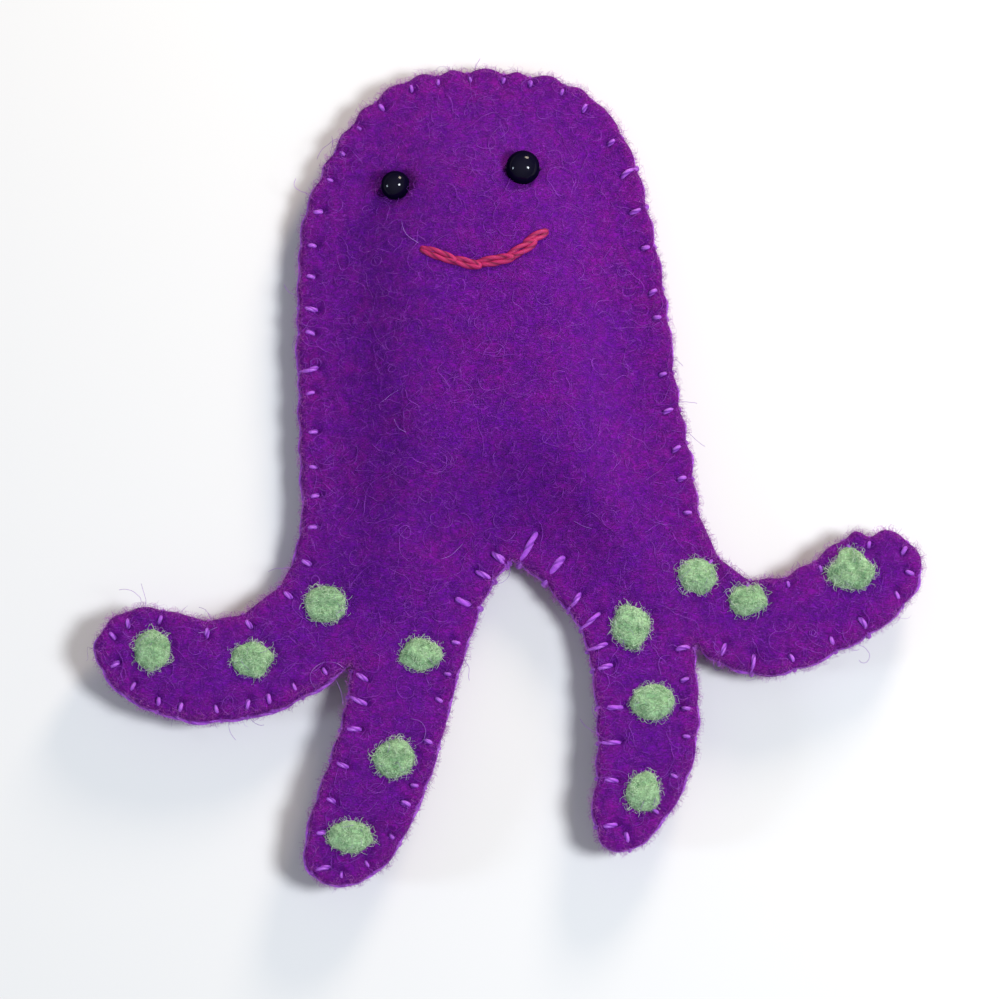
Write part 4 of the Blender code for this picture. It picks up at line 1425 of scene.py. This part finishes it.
def fibre_ways(tree, normal, seed, lift):
    """A random way along the surface for each fibre, raised a little and rolled, as a socket."""
    inputs = {0: (-1.0, -1.0, -1.0), 1: (1.0, 1.0, 1.0), 8: seed}
    chance = out_of(tree, "FunctionNodeRandomValue", inputs, data_type="FLOAT_VECTOR")
    inputs = {0: normal, 1: chance}
    across = out_of(tree, "ShaderNodeVectorMath", inputs, operation="CROSS_PRODUCT")
    across = out_of(tree, "ShaderNodeVectorMath", {0: across}, operation="NORMALIZE")
    inputs = {0: across, 1: scaled(tree, normal, lift)}
    way = out_of(tree, "ShaderNodeVectorMath", inputs, operation="ADD")
    turned = out_of(tree, "FunctionNodeAlignRotationToVector", {2: way}, axis="Z")
    inputs = {2: 0.0, 3: TURN, 8: 5}
    roll = put(tree, "FunctionNodeRandomValue", inputs, data_type="FLOAT").outputs[1]
    rolled = out_of(tree, "FunctionNodeAxisAngleToRotation", {0: (0.0, 0.0, 1.0), 1: roll})
    inputs = {0: turned, 1: rolled}
    return out_of(tree, "FunctionNodeRotateRotation", inputs, rotation_space="LOCAL")


def make_fibre_tree():
    """A surface in, loose curled fibres out. Density is for each square metre."""
    tree, given, result = new_tree(
        "loose_fibres",
        "GeometryNodeTree",
        (
            ("Surface", "Geometry"),
            ("Density", "Float", 1e6),
            ("Where", "String", "open"),
            ("Length", "Float", 1.5 * MM),
            ("Thickness", "Float", 0.04 * MM),
            ("Lift", "Float", 0.3),
            ("Curl", "Float", 0.25),
            ("Segments", "Int", 6),
            ("Seed", "Int", 1),
            ("Material", "Material"),
        ),
        (("Fibres", "Geometry"),),
    )
    density = maths(tree, "MULTIPLY", given["Density"], read_back(tree, given["Where"]))
    roots = put(
        tree,
        "GeometryNodeDistributePointsOnFaces",
        {0: given["Surface"], 4: density, 6: given["Seed"]},
        distribute_method="RANDOM",
    ).outputs
    turned = fibre_ways(tree, roots[1], given["Seed"], given["Lift"])
    kinds = tree.nodes.new("GeometryNodeJoinGeometry")
    for curl in reversed(CURLS):
        tree.links.new(curled_fibre(tree, given, curl), kinds.inputs[0])
    inputs = {4: 0, 5: len(CURLS) - 1, 8: 7}
    which = put(tree, "FunctionNodeRandomValue", inputs, data_type="INT").outputs[2]
    inputs = {2: 0.45, 3: 1.5, 8: 9}
    size = put(tree, "FunctionNodeRandomValue", inputs, data_type="FLOAT").outputs[1]
    inputs = {0: roots[0], 2: kinds.outputs[0], 3: True, 4: which, 5: turned, 6: size}
    fibres = out_of(tree, "GeometryNodeInstanceOnPoints", inputs)
    feed(tree, result, {0: finished(tree, fibres, given["Material"])})
    return tree


FIBRE_TREE = make_fibre_tree()
print("fibre tree of", len(FIBRE_TREE.nodes), "nodes")

# %% [markdown]
# ## Fuzz on the felt
#
# Sparse long fibres lie flat on the open felt, and short ones stand thickly round the edges, where
# scissors cut the wool. No fibre can reach below the table, so those that would are pressed softly
# on to it.


# %% Grow the fuzz
def grow_fibres(name, host, number, length, thickness, material, **values):
    """Fibres on a surface: how many to the square millimetre, and their sizes in millimetres."""
    sizes = {"Density": number / MM**2, "Length": length * MM, "Thickness": thickness * MM}
    return grow(name, host, FIBRE_TREE, {**sizes, "Material": material, **values})


LOWEST_FIBRE, FLOOR_PRESS = 0.05, 0.3
# Fuzz of the two edges: how many to the square millimetre, how long, how thick, and the wool
FRONT_EDGE, BACK_EDGE = (29.0, 0.62, 0.026, LOOSE_EDGE), (18.0, 0.55, 0.026, LOOSE_EDGE)
ON_EDGE = {"Where": "rim", "Segments": 2}

front_fuzz = grow_fibres(
    "front_fuzz", felt_front, 1.5, 1.3, 0.03, LOOSE_PURPLE, Where="open", Lift=0.06, Seed=3
)
edge_fuzz = grow_fibres("edge_fuzz", felt_front, *FRONT_EDGE, Lift=0.8, Seed=4, **ON_EDGE)
back_fuzz = grow_fibres("back_fuzz", felt_back, *BACK_EDGE, Lift=0.6, Seed=5, **ON_EDGE)
for piece in (edge_fuzz, back_fuzz):
    places = np.empty(3 * len(piece.data.vertices), np.float32)
    piece.data.vertices.foreach_get("co", places)
    low = np.minimum(places[2::3] / MM - LOWEST_FIBRE, 0.0)
    pressed = LOWEST_FIBRE * np.exp(low / FLOOR_PRESS) * MM
    places[2::3] = np.where(low < 0.0, pressed, places[2::3])
    piece.data.vertices.foreach_set("co", places)
for piece in (front_fuzz, edge_fuzz, back_fuzz):
    print(piece.name, count_triangles(piece), "triangles")

# %% [markdown]
# ## Green wool spots
#
# Each spot is a tuft of green wool needled into the felt. It makes a low uneven mound, sunk at its
# rim where the needle drove it in, with short fibres standing all round. The outline is an oval
# from the solid model, made uneven by noise and by a few bulges where the photograph shows them.
# Its fibres are joined to it as one piece.

# %% Needle the spots
SPOT_HEIGHT = 0.62
SPOT_SHRINK = 0.92
SPOT_ROUND = 0.95
SPOT_SPACING = 0.24
SPOT_CORNERS = 72
# How uneven the outline and the mound are: how much, and how many waves or how wide
OUTLINE_WAVES = ((0.16, 1.2), (0.05, 4.5))
MOUND_WAVES = ((0.2, 1.3, 0), (0.06, 0.6, 7))
# How far the rim and the under side are sunk, and how far the mound starts below the felt
SPOT_RIM, SPOT_UNDER, SPOT_FOOT = 0.12, 0.25, 0.1
# Bulges of a spot's outline: the direction in degrees, how much of its reach, and the width in
# degrees
SPOT_BULGES = {
    "spot_right_leg_upper": ((-75.0, 0.16, 14.0),),
    "spot_right_leg_tip": ((75.0, 0.16, 24.0), (-40.0, 0.08, 25.0)),
    "spot_left_arm_middle": ((0.0, 0.14, 14.0), (200.0, 0.12, 20.0)),
    "spot_right_arm_outer": (
        (92.0, 0.16, 20.0),
        (38.0, -0.14, 20.0),
        (146.0, -0.16, 20.0),
        (195.0, 0.08, 18.0),
    ),
}


def spot_outline(node, seed):
    """An uneven oval round a spot's middle."""
    middle, size = box_in_mm(node)
    angles = np.arange(SPOT_CORNERS) * TURN / SPOT_CORNERS
    round_it = np.stack([np.cos(angles), np.sin(angles)], axis=1)
    reach = np.ones(SPOT_CORNERS)
    for amount, waves in OUTLINE_WAVES:
        reach += amount * drift(round_it * waves, 1.0, seed)
    for at, amount, width in SPOT_BULGES.get(node, ()):
        apart = (np.degrees(angles) - at + 180.0) % 360.0 - 180.0
        reach += amount * bell(apart, width)
    return middle[:2] + round_it * reach[:, None] * size[:2] / 2 * SPOT_SHRINK


def join_tuft(spot, tuft):
    """Makes a spot and its fibres one mesh with two materials."""
    spot.data.materials.append(LOOSE_GREEN)
    tuft.data.polygons.foreach_set("material_index", np.ones(len(tuft.data.polygons), np.int32))
    shape = bmesh.new()
    shape.from_mesh(spot.data)
    shape.from_mesh(tuft.data)
    shape.to_mesh(spot.data)
    shape.free()
    bpy.data.objects.remove(tuft)


def needled_spot(node, seed):
    """A mound of green wool with its fibres."""
    outline = smooth_loop(spot_outline(node, seed), 0.2)
    flat, faces, rim_count = fill(outline, [], SPOT_SPACING)
    deep = distance_to_loops(flat, [outline])
    rim = np.arange(len(flat)) < rim_count
    seat = relax(heights(front_skin, flat, True), faces, np.zeros(len(flat), bool), 8)
    uneven = sum(much * drift(flat, wide, seed + more) for much, wide, more in MOUND_WAVES)
    top = seat - SPOT_FOOT + (SPOT_HEIGHT + uneven) * rounded(deep, SPOT_ROUND)
    under = seat - SPOT_UNDER
    top[rim] = under[rim] = seat[rim] - SPOT_RIM
    name = node.replace("spot_", "wool_spot_")
    spot = closed_sheet(name, flat, faces, rim, top, under, SPOT_WOOL)
    store_sides(spot, "edge", 0.35 * bell(deep, 0.6), rim)
    store_sides(spot, "open", 0.5 + bell(deep, 0.35), rim)
    values = {"Where": "open", "Lift": 0.15, "Seed": int(seed), "Segments": 4}
    join_tuft(spot, grow_fibres("tuft", spot, 17.0, 0.72, 0.034, LOOSE_GREEN, **values))
    return spot


spots = {node: needled_spot(node, 10.0 + index) for index, node in enumerate(SPOT_NODES)}
print(len(spots), "spots,", sum(count_triangles(spot) for spot in spots.values()), "triangles")

# %% [markdown]
# ## Long loose fibres
#
# A few hundred longer fibres lie on the felt in slow curves. They are thin lines laid on the
# surface by a random walk that keeps its heading for a while. The handful that stand out in the
# photograph have their places listed.

# %% Lay the long fibres
LONG_FIBRES = 420
LONG_WIDTH, STRAY_WIDTH = 0.045, 0.05
STRAY_LIFT = 0.2
WALK_STEP = 0.36
FEWEST_STEPS, MOST_STEPS = 6, 16
STEADY_BEND, LOOSE_BEND = 0.35, 0.3
LOWEST_ARCH, HIGHEST_ARCH = 0.02, 0.35
# Each one seen in the photograph, as places on the felt
SEEN_FIBRES = (
    ((-10.9, 25.3), (-10.7, 24.4), (-10.2, 23.6), (-9.2, 22.9)),
    ((-11.6, 5.0), (-11.2, 4.1), (-10.4, 3.6)),
    ((-6.9, -8.9), (-5.9, -8.5), (-4.7, -7.3)),
    ((6.5, -5.1), (7.4, -5.6), (8.3, -5.9)),
    ((-12.8, 6.9), (-12.0, 7.5), (-11.2, 7.9)),
    ((-31.3, -16.4), (-30.4, -16.2), (-29.4, -15.8)),
    (
        (-16.7, -19.9),
        (-17.5, -19.4),
        (-18.9, -19.4),
        (-19.9, -20.3),
        (-20.0, -21.2),
        (-19.6, -21.9),
    ),
    ((-9.9, -25.1), (-8.9, -25.4), (-8.4, -26.3), (-8.7, -27.3), (-9.6, -27.9)),
    ((-17.4, -21.2), (-16.9, -22.4), (-16.7, -23.7)),
)


def long_fibre(chance):
    """A random walk over the front, which starts inside the outline."""
    while True:
        place = chance.uniform(OUTLINE.min(axis=0), OUTLINE.max(axis=0))
        if is_inside(place[None], OUTLINE)[0]:
            break
    heading, bend = chance.uniform(0.0, TURN), chance.normal(0.0, STEADY_BEND)
    lift = chance.uniform(LOWEST_ARCH, HIGHEST_ARCH)
    count = int(chance.integers(FEWEST_STEPS, MOST_STEPS))
    walk = []
    for _ in range(count):
        walk.append(place)
        heading += bend + chance.normal(0.0, LOOSE_BEND)
        place = place + WALK_STEP * np.array((math.cos(heading), math.sin(heading)))
    walk = np.array(walk)
    arch = np.sin(np.linspace(0.05, math.pi - 0.2, count)) * lift
    return smooth_run(np.column_stack([walk, heights(front_skin, walk, True) + arch]), 2)


def stray_fibre(seen):
    """A line through the places given, a little above the front."""
    flat = smooth_run(seen, 4)
    return np.column_stack([flat, heights(front_skin, flat, True) + STRAY_LIFT])


chance = np.random.default_rng(SEED)
runs = [long_fibre(chance) for _ in range(LONG_FIBRES)]
seen_runs = [stray_fibre(seen) for seen in SEEN_FIBRES]
plain = {"Turns": 0.0, "Step": 0.3 * MM, "Sides": 3, "Waist": 1.0}
long_fibres = lay_thread("long_fibres", runs, LONG_WIDTH, LOOSE_PURPLE, **plain)
stray_fibres = lay_thread("stray_fibres", seen_runs, STRAY_WIDTH, LOOSE_PALE, **plain)
print(len(runs) + len(seen_runs), "long fibres,", count_triangles(long_fibres), "triangles")

# %% [markdown]
# ## The floor
#
# A plain pale floor takes the shadows. It isn't part of the puppet, so it is marked as the stage.

# %% Floor
FLOOR_HALF = 1500.0

floor_paint, _, floor_shader = new_material("pale_floor")
floor_shader.inputs["Base Color"].default_value = linear(232, 231, 228)
floor_shader.inputs["Roughness"].default_value = 0.9
corners = [(x * FLOOR_HALF, y * FLOOR_HALF, 0.0) for x, y in ((-1, -1), (1, -1), (1, 1), (-1, 1))]
floor = new_piece("floor", corners, [(0, 1, 2, 3)], floor_paint)
floor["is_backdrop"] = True

# %% [markdown]
# ## Hand the pieces over
#
# Each piece rides on the puppet's one body and replaces the plain solid that it stands for.

# %% Ride and replace
STANDS_FOR = {
    "front_panel": (felt_front, "felt"),
    "back_panel": (felt_back, "felt"),
    "seam_thread": (seam_thread, "seam_thread"),
    "mouth_thread": (smile, "mouth_thread"),
    "eye_thread": (eye_thread, "eye_thread"),
    **{node: (bead, "bead") for node, bead in beads.items()},
    **{node: (spot, "spot_wool") for node, spot in spots.items()},
}
for node, (piece, finish) in STANDS_FOR.items():
    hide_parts(node)
    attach(piece, "root")
for piece in (front_fuzz, edge_fuzz, back_fuzz, long_fibres, stray_fibres):
    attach(piece, "root")

on_front = [seam_thread, smile, eye_thread, front_fuzz, edge_fuzz, long_fibres, stray_fibres]
on_front += [*beads.values(), *spots.values()]
total = sum(count_triangles(piece) for piece in bpy.data.objects if piece.type == "MESH")
print(total, "triangles in all")

low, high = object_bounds()
print("the finished model spans", [round(side * 1000, 1) for side in high - low], "mm")
